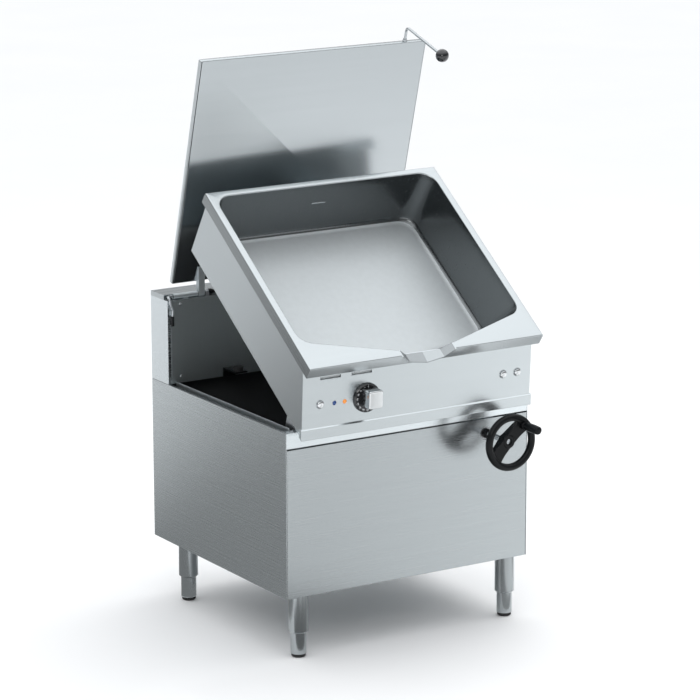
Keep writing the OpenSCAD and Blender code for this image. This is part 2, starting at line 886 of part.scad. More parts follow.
module spout_profile(skin) {
    lean = (spout_w - spout_floor_w) / 2;
    flank = skin * sqrt(lean * lean + spout_deep * spout_deep) / spout_deep;
    low = spout_deep + skin;
    low_half = spout_floor_w / 2 + flank - skin * lean / spout_deep;
    high_half = spout_w / 2 + flank + cut * lean / spout_deep;
    polygon([[-high_half, cut], [high_half, cut], [low_half, -low], [-low_half, -low]]);
}

// Deck with its folded lip and the trough of the spout
module pan_deck() {
    color(STEEL) at_pan() {
        difference() {
            union() {
                translate([0, 0, -pan_sheet]) linear_extrude(pan_sheet) difference() {
                    deck_outline(0);
                    well_outline(0);
                }
                translate([0, 0, -lip_h]) linear_extrude(lip_h - pan_sheet) difference() {
                    deck_outline(0);
                    deck_outline(pan_sheet);
                }
            }
            along_y(-cut, spout_end) spout_profile(pan_sheet);
        }
        difference() {
            along_y(-spout_reach, spout_end) spout_profile(pan_sheet);
            along_y(-spout_reach - cut, spout_end + cut) spout_profile(0);
            box([-spout_w, -spout_reach - cut, 0], [spout_w, spout_end + cut, 2 * cut]);
            well_form(-cut, 0);
        }
    }
}

module deck_outline(inset) {
    translate([inset - rim_w / 2, inset]) square([rim_w - 2 * inset, rim_d - 2 * inset]);
}

// Well with the level mark on its rear wall
module pan_well() {
    mark_y = well_rear - wall_draft * mark_low / (well_deep - cove_r);
    color(STEEL) at_pan() {
        difference() {
            well_form(pan_sheet + slice_t, pan_sheet);
            well_form(-cut, 0);
            along_y(-cut, spout_end) spout_profile(pan_sheet);
        }
        box([-mark_w / 2, mark_y - mark_t, -mark_low], [mark_w / 2, mark_y + mark_t, -mark_low + mark_h]);
    }
}

// Thick plate that spreads the heat under the well
module heat_plate() {
    color(ZINC) at_pan() translate([0, 0, -floor_under - plate_t])
        linear_extrude(plate_t) well_outline(well_deep, plate_inset);
}

// Tubular elements, each a long loop under the plate
module heating_elements() {
    front = front_rim + front_run + plate_inset + element_front;
    rear = well_rear - plate_inset - element_rear;
    r = element_d / 2;
    color(DARK_STEEL) at_pan() translate([0, 0, -floor_under - plate_t - r])
        for (i = [0 : element_count - 1]) translate([(i - (element_count - 1) / 2) * element_pitch, 0, 0]) {
            for (side = [-1, 1]) translate([side * element_bend_r, 0, 0]) rod_y(front, rear, r);
            translate([0, rear, 0]) rotate_extrude(angle = 180) translate([element_bend_r, 0]) circle(r = r);
        }
}

// Floor of the casing, folded up at its sides
module casing_floor() {
    half = casing_x - sheet;
    rear = rear_bottom - sheet - slide_gap;
    color(STEEL) at_pan() {
        box([-half, tray_front, -casing_h], [half, rear, -casing_h + sheet]);
        mirrored() box([half - sheet, tray_front, -casing_h + sheet], [half, rear - tray_fold, -casing_h + tray_fold]);
    }
}

module casing_side() {
    color(STEEL) at_pan() along_x(casing_x - sheet, casing_x) polygon([
        [fascia_top + fascia_skin, -pan_sheet],
        [fascia_top + fascia_skin, -lip_h],
        [-fascia_foot + fascia_skin, -casing_h],
        [rear_bottom, -casing_h],
        [rear_top, -pan_sheet]
    ]);
}

module casing_right() casing_side();

module casing_left() mirror([1, 0, 0]) casing_side();

module casing_rear() {
    color(STEEL) at_pan() along_x(-casing_x + sheet, casing_x - sheet) polygon([
        [rear_top - sheet, -pan_sheet],
        [rear_bottom - sheet, -casing_h],
        [rear_bottom, -casing_h],
        [rear_top, -pan_sheet]
    ]);
}

// Sloping front of the casing with its soffit under the lip, its holes, vents and foot band
module fascia() {
    up = [sin(fascia_angle), cos(fascia_angle)];
    out = [-cos(fascia_angle), sin(fascia_angle)];
    foot = [-fascia_foot, -casing_h];
    band_top = foot + band_h * up;
    foot_out = foot - [band_t / cos(fascia_angle), 0];
    color(STEEL) {
        difference() {
            at_pan() union() {
                along_x(-casing_x, casing_x) polygon([
                    [pan_sheet, -lip_h],
                    [fascia_top, -lip_h],
                    foot,
                    foot + [fascia_skin, 0],
                    [fascia_top + fascia_skin, -lip_h],
                    [fascia_top + fascia_skin, -lip_h + sheet],
                    [pan_sheet, -lip_h + sheet]
                ]);
                box([-casing_x + sheet, -fascia_foot + fascia_skin, -casing_h],
                    [casing_x - sheet, -fascia_foot + fascia_return, -casing_h + sheet]);
            }
            control_hole(knob_x, control_up, spindle_hole_d);
            control_hole(lamp_blue_x, control_up - sheet, lamp_d - 2 * lamp_step);
            control_hole(lamp_orange_x, control_up - sheet, lamp_d - 2 * lamp_step);
            for (x = [button_left_x, button_inner_x, button_outer_x])
                control_hole(x, button_up(x), button_d + 2 * slide_gap);
            for (x = vent_x) at_fascia(x, vent_up)
                box([-vent_l / 2, -vent_h / 2, -2 * sheet], [vent_l / 2, vent_h / 2, cut]);
        }
        at_pan() {
            along_x(-casing_x - band_t, casing_x + band_t)
                polygon([foot, foot_out, band_top - band_slope * up + band_t * out, band_top]);
            mirrored() along_x(casing_x, casing_x + band_t)
                polygon([foot, band_top, band_top - band_wrap * out, foot + [band_wrap / cos(fascia_angle), 0]]);
        }
    }
}

function button_up(x) = control_up + (x > 0 ? right_raise : 0);

module control_hole(x, up, d) at_fascia(x, up) translate([0, 0, -2 * sheet]) cylinder(h = 2 * sheet + cut, d = d);

// Trunnions on the casing's sides, about which the pan turns
module trunnions() {
    inner = casing_x - sheet;
    end = bracket_x - bracket_t - ring_gap - ring_t;
    color(ZINC) at_pan() mirrored() translate([0, pivot_u, -pivot_h]) {
        rod_x(inner - trunnion_flange_t, inner, trunnion_flange_d / 2);
        rod_x(end, inner - trunnion_flange_t, trunnion_d / 2);
        rod_x(end, end + ring_t, trunnion_d / 2 + bush_wall);
    }
}

// Place of the nut's pin against the pivot, in the pan's frame, at a share of the full tilt
function pin_at(share) = let (
    a = share * tilt_full,
    y = nut_start + share * nut_travel - pivot_back,
    z = screw_z - pivot_z
) [y * cos(a) + z * sin(a), -y * sin(a) + z * cos(a)];

// Point beside the pin's path
function beside(share, off) = let (
    step = 1 / slot_steps,
    p = pin_at(share),
    d = pin_at(share + step) - pin_at(share - step),
    n = [-d[1], d[0]] / norm(d)
) p + n * off;

// Slotted outline of the lever's plates, which turns the nut's even travel into an even tilt
module lever_outline() {
    half_slot = nut_pin_d / 2 + slot_gap;
    shares = [for (i = [0 : slot_steps]) i / slot_steps];
    first = pin_at(0);
    last = pin_at(1);
    top = pivot_h - casing_h - lever_flange_t;
    difference() {
        union() {
            polygon(concat(
                [[tray_front - pivot_u + lever_flange_l, top], [tray_front - pivot_u, top]],
                [beside(0, -lever_r), beside(1, -lever_r), beside(1, lever_r), beside(0, lever_r)]
            ));
            translate(first) circle(r = lever_r);
            translate(last) circle(r = lever_r);
        }
        polygon(concat(
            [for (s = shares) beside(s, half_slot)],
            [for (i = [slot_steps : -1 : 0]) beside(i / slot_steps, -half_slot)]
        ));
        translate(first) circle(r = half_slot);
        translate(last) circle(r = half_slot);
    }
}

module tilt_lever() {
    inner = nut_w / 2 + lever_gap;
    color(ZINC) at_pan() translate([wheel_x, 0, 0]) {
        translate([0, pivot_u, -pivot_h]) mirrored() along_x(inner, inner + lever_t) lever_outline();
        box([-inner - 2 * lever_t, tray_front, -casing_h - lever_flange_t],
            [inner + 2 * lever_t, tray_front + lever_flange_l, -casing_h]);
    }
}

// Thermostat behind the fascia that the knob's stem turns
module thermostat() {
    color(BLACK) at_fascia(knob_x, control_up) difference() {
        box([-thermostat_w / 2, -thermostat_w / 2, -sheet - thermostat_t],
            [thermostat_w / 2, thermostat_w / 2, -sheet]);
        translate([0, 0, -knob_stem_l - cut]) cylinder(h = knob_stem_l + cut, d = knob_stem_d + 2 * run_gap);
    }
}

// Barrels behind the fascia that guide the buttons and hold their switches
module switch_bodies() {
    deep = button_body + button_travel + stem_stop;
    color(BLACK) for (x = [button_left_x, button_inner_x, button_outer_x]) at_fascia(x, button_up(x)) difference() {
        translate([0, 0, -deep - stem_l - barrel_wall])
            cylinder(h = deep + stem_l + barrel_wall - sheet, d = button_d + 2 * barrel_wall);
        translate([0, 0, -deep]) cylinder(h = deep, d = button_d + 2 * slide_gap);
        translate([0, 0, -deep - stem_l]) cylinder(h = stem_l + cut, d = stem_d + 2 * slide_gap);
    }
}

// Domed push button with the stem that works its switch
module button(x) {
    dome = button_out / 2;
    r = (button_d * button_d / 4 + dome * dome) / (2 * dome);
    color(BRIGHT) at_fascia(x, button_up(x)) {
        translate([0, 0, -button_body]) cylinder(h = button_body + button_out - dome, d = button_d);
        intersection() {
            translate([0, 0, button_out - r]) sphere(r = r);
            translate([0, 0, button_out - dome]) cylinder(h = dome + cut, d = button_d);
        }
        translate([0, 0, -button_body - stem_l + stem_stop]) cylinder(h = stem_l - stem_stop, d = stem_d);
    }
}

module button_left() button(button_left_x);

module button_inner() button(button_inner_x);

module button_outer() button(button_outer_x);

// Pilot lamp with a domed lens
module pilot_lamp(x) {
    r = (lamp_d * lamp_d / 4 + lamp_out * lamp_out) / (2 * lamp_out);
    at_fascia(x, control_up - sheet) {
        intersection() {
            translate([0, 0, lamp_out - r]) sphere(r = r);
            cylinder(h = lamp_out + cut, d = lamp_d);
        }
        translate([0, 0, -lamp_l]) cylinder(h = lamp_l, d = lamp_d - 2 * lamp_step - 2 * press_gap);
    }
}

module pilot_lamp_blue() color([0.05, 0.12, 0.4]) pilot_lamp(lamp_blue_x);

module pilot_lamp_orange() color([0.9, 0.42, 0.08]) pilot_lamp(lamp_orange_x);

// Round dial of the knob with its stem
module knob_dial() {
    color(BLACK) at_fascia(knob_x, control_up) {
        translate([0, 0, dial_gap]) cylinder(h = dial_t - dial_bevel, d = dial_d);
        translate([0, 0, dial_gap + dial_t - dial_bevel])
            cylinder(h = dial_bevel, d1 = dial_d, d2 = dial_d - 2 * dial_bevel);
        translate([0, 0, -knob_stem_l + dial_gap]) cylinder(h = knob_stem_l, d = knob_stem_d);
    }
}

// Block grip of the knob, drawn in towards its front
module knob_grip() {
    round_r = grip_base_t;
    color(BRIGHT) at_fascia(knob_x, control_up) translate([0, 0, dial_gap + dial_t]) hull() {
        linear_extrude(grip_base_t) offset(r = round_r) square([grip_w, grip_h] - 2 * [round_r, round_r], center = true);
        translate([0, 0, grip_t - slice_t]) linear_extrude(slice_t) offset(r = round_r)
            square([grip_w, grip_h] - 2 * [round_r + grip_taper, round_r + grip_taper], center = true);
    }
}

// Outer skin of the lid, folded round its edges
module lid_skin() {
    half = lid_w / 2;
    color(STEEL) at_lid() difference() {
        lid_block(half, 0, -lid_t, 0);
        lid_block(half - lid_sheet, lid_sheet, -lid_t + lid_sheet, cut);
    }
}

// Slab of the lid with its two cut corners at the free edge
module lid_block(half, inset, low, high) {
    translate([0, 0, low]) linear_extrude(high - low) polygon([
        [-half, inset], [half, inset],
        [half, lid_l - inset - lid_corner], [half - lid_corner, lid_l - inset],
        [-half + lid_corner, lid_l - inset], [-half, lid_l - inset - lid_corner]
    ]);
}

module lid_inner() {
    color(BRIGHT) at_lid() lid_block(lid_w / 2 - lid_sheet - press_gap, lid_sheet + press_gap, -lid_sheet, 0);
}

// Arms that carry the lid on its hinge shaft
module lid_hinge_arms() {
    inner = lug_x + arm_gap;
    color(ZINC) at_lid() mirrored() difference() {
        union() {
            along_x(inner, inner + arm_t) polygon([
                [arm_pad, 0],
                [arm_pad, arm_pad_t],
                [-lid_off + arm_r / 4, lid_back + arm_r - sheet / 4],
                [-lid_off - arm_r / 2, lid_back - arm_r / 2 - sheet],
                [arm_heel, 0]
            ]);
            translate([0, -lid_off, lid_back]) rod_x(inner, inner + arm_t, arm_r);
        }
        translate([0, -lid_off, lid_back]) rod_x(inner - cut, inner + arm_t + cut, hinge_d / 2 + press_gap);
    }
}

// Shaft through both lugs and arms, with its black caps
module lid_hinge_shaft() {
    cap_outer = lug_x - lug_t - slide_gap;
    end = lug_x + arm_gap + arm_t;
    color(BLACK) at_lid() translate([0, -lid_off, lid_back]) {
        rod_x(-end, end, hinge_d / 2);
        mirrored() rod_x(cap_outer - cap_t, cap_outer, cap_d / 2);
    }
}

// Bent handle rod with its ferrule on the lid's free edge
module lid_handle() {
    color(BRIGHT) at_lid() translate([handle_x, lid_l, -lid_t / 2]) {
        rotate([-90, 0, 0]) cylinder(h = ferrule_h, d1 = ferrule_low_d, d2 = ferrule_high_d);
        chain(concat([[0, 0, 0]], handle_corners, [handle_end]), handle_d / 2);
    }
}

module lid_ball() {
    color(BLACK) at_lid() translate([handle_x, lid_l, -lid_t / 2]) difference() {
        translate(handle_end) sphere(d = ball_d);
        link(handle_corners[len(handle_corners) - 1], handle_end + press_gap * handle_dir, handle_d / 2 + press_gap);
    }
}

// Handwheel with a dished web across it
module handwheel() {
    rim_r = wheel_rim_d / 2;
    ring_r = wheel_d / 2 - rim_r;
    boss_at = grip_r * [cos(web_angle), sin(web_angle), 0];
    color(BLACK) at_wheel() difference() {
        union() {
            rotate_extrude() translate([ring_r, 0]) circle(r = rim_r);
            rotate([0, 0, web_angle])
                box([web_in - ring_r, -web_w / 2, web_back], [ring_r - web_in, web_w / 2, web_back + web_t]);
            translate([0, 0, hub_back]) cylinder(h = hub_front - hub_back, d = hub_d);
            translate(boss_at + [0, 0, grip_boss_low]) cylinder(h = grip_boss_top - grip_boss_low, d = grip_d);
        }
        translate([0, 0, hub_front - hub_cup]) cylinder(h = hub_cup + cut, d = hub_cup_d);
        translate([0, 0, hub_back - cut])
            cylinder(h = hub_front - hub_back + 2 * cut, d = spindle_d + 2 * press_gap);
        translate(boss_at + [0, 0, web_back - cut])
            cylinder(h = grip_boss_top - web_back + 2 * cut, d = grip_axle_d + 2 * press_gap);
    }
}

module grip_axle() {
    boss_at = grip_r * [cos(web_angle), sin(web_angle), 0];
    color(ZINC) at_wheel() translate(boss_at + [0, 0, web_back])
        cylinder(h = grip_reach - grip_round - web_back, d = grip_axle_d);
}

// Revolving grip on its axle
module grip() {
    boss_at = grip_r * [cos(web_angle), sin(web_angle), 0];
    low = grip_boss_top + slide_gap;
    color(BLACK) at_wheel() translate(boss_at) difference() {
        union() {
            translate([0, 0, low]) cylinder(h = grip_reach - grip_round - low, d1 = grip_d - sheet, d2 = grip_d + sheet);
            translate([0, 0, grip_reach - grip_round])
                cylinder(h = grip_round, d1 = grip_d + sheet, d2 = grip_d + sheet - grip_round);
        }
        translate([0, 0, low - cut])
            cylinder(h = grip_reach - grip_round + slide_gap - low + cut, d = grip_axle_d + 2 * run_gap);
    }
}

// Spindle and lead screw in one piece, from the handwheel to the rear bearing
module tilt_spindle() {
    bearing_back = upright_y + 2 * sheet + bearing_flange_t;
    color(ZINC) at_cabinet() translate([wheel_x, 0, screw_z]) {
        rod_y(-wheel_out - hub_front + hub_cup - sheet, bearing_back + slide_gap, spindle_d / 2);
        rod_y(bearing_back + slide_gap, bearing_back + slide_gap + collar_t, collar_d / 2);
        rod_y(bearing_back + slide_gap + collar_t, screw_back - slide_gap, screw_d / 2);
        rod_y(screw_back - slide_gap, screw_back + rear_bearing_t + sheet, spindle_d / 2);
    }
}

// Travelling nut with the two pins that work in the lever's slots
module tilt_nut() {
    nut_y = nut_start + nut_travel * tilt_shown / tilt_full;
    pin_end = nut_w / 2 + lever_gap + lever_t + sheet;
    color(BRONZE) at_cabinet() translate([wheel_x, nut_y, screw_z]) difference() {
        union() {
            box([-nut_w / 2, -nut_l / 2, -nut_h / 2], [nut_w / 2, nut_l / 2, nut_h / 2]);
            rod_x(-pin_end, pin_end, nut_pin_d / 2);
        }
        rod_y(-nut_l / 2 - cut, nut_l / 2 + cut, screw_d / 2 + run_gap);
    }
}

side_panel_left();
side_panel_right();
rear_panel();
base_panel();
front_panel();
front_rail();
gutters();
column_shell();
column_front_plate();
column_cover();
column_screws();
leg_tubes();
foot_tubes();
foot_pads();
pivot_bracket_left();
pivot_bracket_right();
bearing_bushes();
lid_hinge_lugs();
torsion_tubes();
torsion_bar();
torsion_sleeve();
drive_upright();
spindle_bearing();
spindle_boss();
rear_bearing_bracket();
terminal_box();
cable_gland();
rest_brackets();
rest_buffers();
pan_deck();
pan_well();
heat_plate();
heating_elements();
casing_floor();
casing_left();
casing_right();
casing_rear();
fascia();
trunnions();
tilt_lever();
thermostat();
switch_bodies();
pilot_lamp_blue();
pilot_lamp_orange();
knob_dial();
knob_grip();
button_left();
button_inner();
button_outer();
lid_skin();
lid_inner();
lid_hinge_arms();
lid_hinge_shaft();
lid_handle();
lid_ball();
handwheel();
grip_axle();
tilt_spindle();
grip();
tilt_nut();
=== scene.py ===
"""Looks of a tilting bratt pan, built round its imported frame.

Sizes in the classes are millimetres, and a form becomes metres when it is placed.
"""

from __future__ import annotations

import json
import logging
import math
from dataclasses import dataclass, field
from enum import Enum
from typing import Any, Sequence

import bmesh
import bpy
from mathutils import Matrix, Vector

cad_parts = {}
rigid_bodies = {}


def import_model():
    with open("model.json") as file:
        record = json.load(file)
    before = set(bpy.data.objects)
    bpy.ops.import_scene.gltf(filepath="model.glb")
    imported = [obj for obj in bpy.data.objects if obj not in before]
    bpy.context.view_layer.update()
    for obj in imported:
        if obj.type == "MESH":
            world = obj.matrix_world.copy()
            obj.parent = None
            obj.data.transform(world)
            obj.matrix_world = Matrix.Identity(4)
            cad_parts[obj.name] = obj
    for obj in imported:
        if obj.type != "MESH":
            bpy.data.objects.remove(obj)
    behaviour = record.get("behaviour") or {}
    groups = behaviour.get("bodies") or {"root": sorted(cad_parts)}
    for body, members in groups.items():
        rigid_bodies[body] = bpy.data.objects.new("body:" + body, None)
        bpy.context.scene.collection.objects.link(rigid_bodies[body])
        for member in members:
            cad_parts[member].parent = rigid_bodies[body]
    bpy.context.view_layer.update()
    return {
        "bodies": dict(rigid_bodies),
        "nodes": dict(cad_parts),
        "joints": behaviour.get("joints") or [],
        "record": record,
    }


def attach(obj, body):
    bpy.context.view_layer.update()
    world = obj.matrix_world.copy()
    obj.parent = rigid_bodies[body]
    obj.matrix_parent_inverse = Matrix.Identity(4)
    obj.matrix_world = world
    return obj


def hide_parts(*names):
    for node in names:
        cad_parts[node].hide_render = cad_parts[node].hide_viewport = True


LOG = logging.getLogger("bratt_pan")
MM = 0.001
# Radius at which a turned form closes on its axis
AXIS = 0.05
# Range of a noise that carries its dark and light parts
NOISE_LOW, NOISE_HIGH = 0.3, 0.7
NOISE_ROUGHNESS = 0.55
BUMP_STRENGTH = 0.5
# Distance in millimetres at which two points of a form become one
WELD = 0.0005
# Streaks longer than this run along the brushing, and clouds are made wider and longer by these
LONG_STREAK, CLOUD_WIDER, CLOUD_LONGER = 0.1, 12.0, 1.6
Colour = tuple[float, float, float]
Point = tuple[float, float, float]
Flat = tuple[float, float]
Values = dict[Any, Any]
Socket = bpy.types.NodeSocket


def shift(x: float, y: float, z: float) -> Matrix:
    """Return the move by a distance in millimetres."""
    return Matrix.Translation((x * MM, y * MM, z * MM))


def lean(degrees: float) -> Matrix:
    """Return the turn about X."""
    return Matrix.Rotation(math.radians(degrees), 4, "X")


def turn(degrees: float) -> Matrix:
    """Return the turn about Z."""
    return Matrix.Rotation(math.radians(degrees), 4, "Z")


def aimed(along: Vector, axis: str = "-Z") -> Matrix:
    """Return the turn that points an axis along a direction."""
    return along.to_track_quat(axis, "Y").to_matrix().to_4x4()


@dataclass(frozen=True)
class Layout:
    """Places of the sub-assemblies in the frame, from the part's own sizes."""

    middle_y: float = 279.0
    column_y: float = 652.0
    tilt: float = 35.25
    pivot_y: float = 8.0
    pivot_z: float = 767.0
    pivot_u: float = 41.0
    pivot_h: float = 127.5
    fascia_angle: float = 32.0
    fascia_foot: float = 73.5
    casing_h: float = 204.0
    lid_angle: float = 74.5
    lid_off: float = 31.0
    lid_back: float = 16.6
    hinge_y: float = 663.0
    hinge_z: float = 906.2
    wheel_x: float = 260.0
    wheel_out: float = 118.0
    screw_z: float = 558.0

    def cabinet(self) -> Matrix:
        """Return the cabinet's place, with Y from its front face."""
        return shift(0, -self.middle_y, 0)

    def pan(self) -> Matrix:
        """Return the pan's place: Y back along the rim from the lip, Z square to the rim."""
        pivot = shift(0, self.pivot_y, self.pivot_z)
        return self.cabinet() @ pivot @ lean(self.tilt) @ shift(0, -self.pivot_u, self.pivot_h)

    def fascia(self, x: float, up: float) -> Matrix:
        """Return a place on the fascia, with Z out of it.

        Args:
            x: Distance to the right of the middle.
            up: Height above the fascia's foot, along it.

        Returns:
            The place as a matrix.
        """
        angle = math.radians(self.fascia_angle)
        foot = shift(x, -self.fascia_foot + up * math.sin(angle), -self.casing_h + up * math.cos(angle))
        return self.pan() @ foot @ lean(90.0 - self.fascia_angle)

    def lid(self) -> Matrix:
        """Return the lid's place: Y to the free edge, Z out of its inner face."""
        hinge = shift(0, self.hinge_y, self.hinge_z)
        return self.cabinet() @ hinge @ lean(180.0 - self.lid_angle) @ shift(0, self.lid_off, -self.lid_back)

    def wheel(self) -> Matrix:
        """Return the handwheel's place, with Z along the spindle to the user."""
        return self.cabinet() @ shift(self.wheel_x, -self.wheel_out, self.screw_z) @ lean(90.0)


LAYOUT = Layout()


class NodeTree:
    """A node tree, with a short way to add nodes and to join them."""

    def __init__(self, tree: bpy.types.NodeTree) -> None:
        """Keep the tree."""
        self.tree = tree

    def put(self, inlet: Socket, value: Any) -> None:
        """Join another node's output to an input, or set the input.

        Args:
            inlet: The input.
            value: An output socket, or the value to set.
        """
        if isinstance(value, bpy.types.NodeSocket):
            self.tree.links.new(value, inlet)
        else:
            inlet.default_value = value

    def add(self, kind: str, values: Values | None = None, **settings: Any) -> bpy.types.Node:
        """Add a node.

        Args:
            kind: The node's type.
            values: What its inputs get, by the socket's name or number.
            **settings: Its other settings.

        Returns:
            The node.
        """
        node = self.tree.nodes.new(kind)
        for key, value in settings.items():
            setattr(node, key, value)
        for key, value in (values or {}).items():
            self.put(node.inputs[key], value)
        return node

    def feed(self, kind: str, outlet: str | int, values: Values | None = None, **settings: Any) -> Socket:
        """Add a node and return one of its outputs.

        Args:
            kind: The node's type.
            outlet: The output's name or number.
            values: What its inputs get, by the socket's name or number.
            **settings: Its other settings.

        Returns:
            The output.
        """
        return self.add(kind, values, **settings).outputs[outlet]


class Graph(NodeTree):
    """A material's node tree, with the patterns that its finishes share."""

    def __init__(self, name: str) -> None:
        """Start an empty tree.

        Args:
            name: The material's name.
        """
        self.material = bpy.data.materials.new(name)
        self.material.use_nodes = True
        super().__init__(self.material.node_tree)
        self.tree.nodes.clear()

    def place(self) -> Socket:
        """Return the piece's own coordinates."""
        return self.feed("ShaderNodeTexCoord", "Object")

    def pattern(self, size: Point, tilt: float = 0.0, detail: float = 2.0) -> Socket:
        """Add a noise in the piece's own coordinates.

        Args:
            size: Length of its grains along X, Y and Z, in metres.
            tilt: Turn of its axes about X, in degrees.
            detail: Detail of the noise.

        Returns:
            The noise as a value from nought to one.
        """
        turned = {"Vector": self.place(), "Rotation": (math.radians(tilt), 0.0, 0.0), "Scale": size}
        mapped = self.feed("ShaderNodeMapping", "Vector", turned, vector_type="TEXTURE")
        noise = {"Vector": mapped, "Scale": 1.0, "Detail": detail, "Roughness": NOISE_ROUGHNESS}
        return self.feed("ShaderNodeTexNoise", "Fac", noise)

    def between(self, factor: Socket, low: float, high: float) -> Socket:
        """Let a value run with a noise.

        Args:
            factor: The noise.
            low: The value where the noise is low.
            high: The value where it is high.

        Returns:
            The value.
        """
        return self.feed("ShaderNodeMapRange", "Result", {
            "Value": factor, "From Min": NOISE_LOW, "From Max": NOISE_HIGH, "To Min": low, "To Max": high})

    def tones(self, factor: Socket, dark: Colour, light: Colour) -> Socket:
        """Let a colour run with a noise.

        Args:
            factor: The noise.
            dark: The colour where the noise is low.
            light: The colour where it is high.

        Returns:
            The colour.
        """
        ramp = self.add("ShaderNodeValToRGB", {"Fac": factor})
        for stop, at, colour in zip(ramp.color_ramp.elements, (NOISE_LOW, NOISE_HIGH), (dark, light)):
            stop.position, stop.color = at, (*colour, 1.0)
        return ramp.outputs["Color"]

    def relief(self, height: Socket, depth: float, edge: float) -> Socket:
        """Give the surface a fine relief and soft edges.

        Args:
            height: The relief as a value from nought to one.
            depth: Depth of the relief in metres.
            edge: Radius of the softened edges in metres.

        Returns:
            The surface's normal.
        """
        soft = self.feed("ShaderNodeBevel", "Normal", {"Radius": edge}, samples=4)
        return self.feed("ShaderNodeBump", "Normal", {
            "Height": height, "Normal": soft, "Strength": BUMP_STRENGTH, "Distance": depth})

    def surface(self, **values: Any) -> None:
        """Add the shader and join it to the output.

        Args:
            **values: What the shader's inputs get, with underscores for spaces.
        """
        inputs = {key.replace("_", " "): value for key, value in values.items()}
        shader = self.feed("ShaderNodeBsdfPrincipled", "BSDF", inputs)
        self.add("ShaderNodeOutputMaterial", {"Surface": shader})


class Grain(Enum):
    """Direction in which a sheet was brushed, as the length of its streaks along each axis."""

    ACROSS = (0.30, 0.0011, 0.0011)
    BACK = (0.0011, 0.30, 0.0011)
    UP = (0.0011, 0.0011, 0.30)
    EVEN = (0.0016, 0.0016, 0.0016)

    def wide(self) -> Point:
        """Return the clouds that lie along the same streaks."""
        return tuple(size * (CLOUD_WIDER if size < LONG_STREAK else CLOUD_LONGER) for size in self.value)


def tinted(colour: Colour, factor: float) -> Colour:
    """Return a colour made darker or lighter."""
    return tuple(min(1.0, part * factor) for part in colour)


@dataclass(frozen=True)
class Finish:
    """What every finish has: a name, a colour and a way to paint it."""

    name: str
    colour: Colour

    def build(self) -> bpy.types.Material:
        """Return the material."""
        graph = Graph(self.name)
        self.paint(graph)
        return graph.material

    def paint(self, graph: Graph) -> None:
        """Add the finish to an empty material."""
        raise NotImplementedError

    def mottled(self, graph: Graph, noise: Socket, dark: float, light: float = 1.0) -> Socket:
        """Return the finish's colour, made darker and lighter with a noise."""
        return graph.tones(noise, tinted(self.colour, dark), tinted(self.colour, light))


@dataclass(frozen=True)
class BrushedSteel(Finish):
    """Stainless sheet with a brushed grain."""

    roughness: float = 0.27
    grain: Grain = Grain.ACROSS
    tilt: float = 0.0
    cloud: float = 0.010
    edge: float = 0.0012
    depth: float = 0.0000024
    metal: float = 1.0
    spread: float = 0.1

    def brushed(self, graph: Graph) -> tuple[Socket, Socket, Socket]:
        """Add the bare sheet's patterns.

        Args:
            graph: The material.

        Returns:
            The sheet's colour, roughness and normal.
        """
        clouds = graph.pattern(self.grain.wide(), self.tilt, 3.0)
        fine = graph.pattern(self.grain.value, self.tilt)
        colour = self.mottled(graph, clouds, 1.0 - self.cloud, 1.0 + self.cloud)
        rough = graph.between(
            fine, self.roughness * (1.0 - self.spread), self.roughness * (1.0 + self.spread))
        return colour, rough, graph.relief(fine, self.depth, self.edge)

    def paint(self, graph: Graph) -> None:
        """Paint the bare sheet."""
        colour, rough, normal = self.brushed(graph)
        graph.surface(Base_Color=colour, Metallic=self.metal, Roughness=rough, Normal=normal)


@dataclass(frozen=True)
class LinedSteel(BrushedSteel):
    """Stainless sheet of the cabinet, with painted shade on the side that faces inwards: a dark colour that
    stands in for the shade inside the cabinet.
    """

    # coat and coat_rough are the painted shade: the dark colour and the roughness of the faces that look
    # inwards
    coat: Colour = (0.062, 0.068, 0.072)
    coat_rough: float = 0.55
    middle: Point = (0.0, 0.0, 0.41)

    def paint(self, graph: Graph) -> None:
        """Paint the sheet, and paint shade on the faces that look towards the cabinet's middle.

        Args:
            graph: The material's empty tree.
        """
        colour, rough, normal = self.brushed(graph)
        place = graph.add("ShaderNodeTexCoord").outputs
        inward = graph.feed(
            "ShaderNodeVectorMath", "Vector", {0: self.middle, 1: place["Object"]}, operation="SUBTRACT")
        facing = graph.feed(
            "ShaderNodeVectorMath", "Value", {0: inward, 1: place["Normal"]}, operation="DOT_PRODUCT")
        # Faces that look towards the middle get the painted shade: dark, duller and not metal
        inside = graph.feed("ShaderNodeMath", "Value", {0: facing, 1: 0.0}, operation="GREATER_THAN")
        shaded_inside = {0: inside, 6: colour, 7: (*self.coat, 1.0)}
        dulled = {0: inside, 1: self.coat_rough, 2: rough}
        graph.surface(
            Base_Color=graph.feed("ShaderNodeMix", 2, shaded_inside, data_type="RGBA"),
            Metallic=graph.feed("ShaderNodeMath", "Value", {0: 1.0, 1: inside}, operation="SUBTRACT"),
            Roughness=graph.feed("ShaderNodeMath", "Value", dulled, operation="MULTIPLY_ADD"), Normal=normal)


@dataclass(frozen=True)
class Polished(Finish):
    """Chrome or polished metal with faint wiping marks."""

    roughness: float = 0.06
    wiped_rougher: float = 1.8
    smear: float = 0.012
    dark: float = 0.96
    depth: float = 0.00002
    edge: float = 0.0005

    def paint(self, graph: Graph) -> None:
        """Paint the metal, rougher where it was wiped.

        Args:
            graph: The material's empty tree.
        """
        wiped = graph.pattern((self.smear,) * 3, detail=3.0)
        rough = graph.between(wiped, self.roughness, self.roughness * self.wiped_rougher)
        graph.surface(
            Base_Color=self.mottled(graph, wiped, self.dark), Metallic=1.0, Roughness=rough,
            Normal=graph.relief(wiped, self.depth, self.edge))


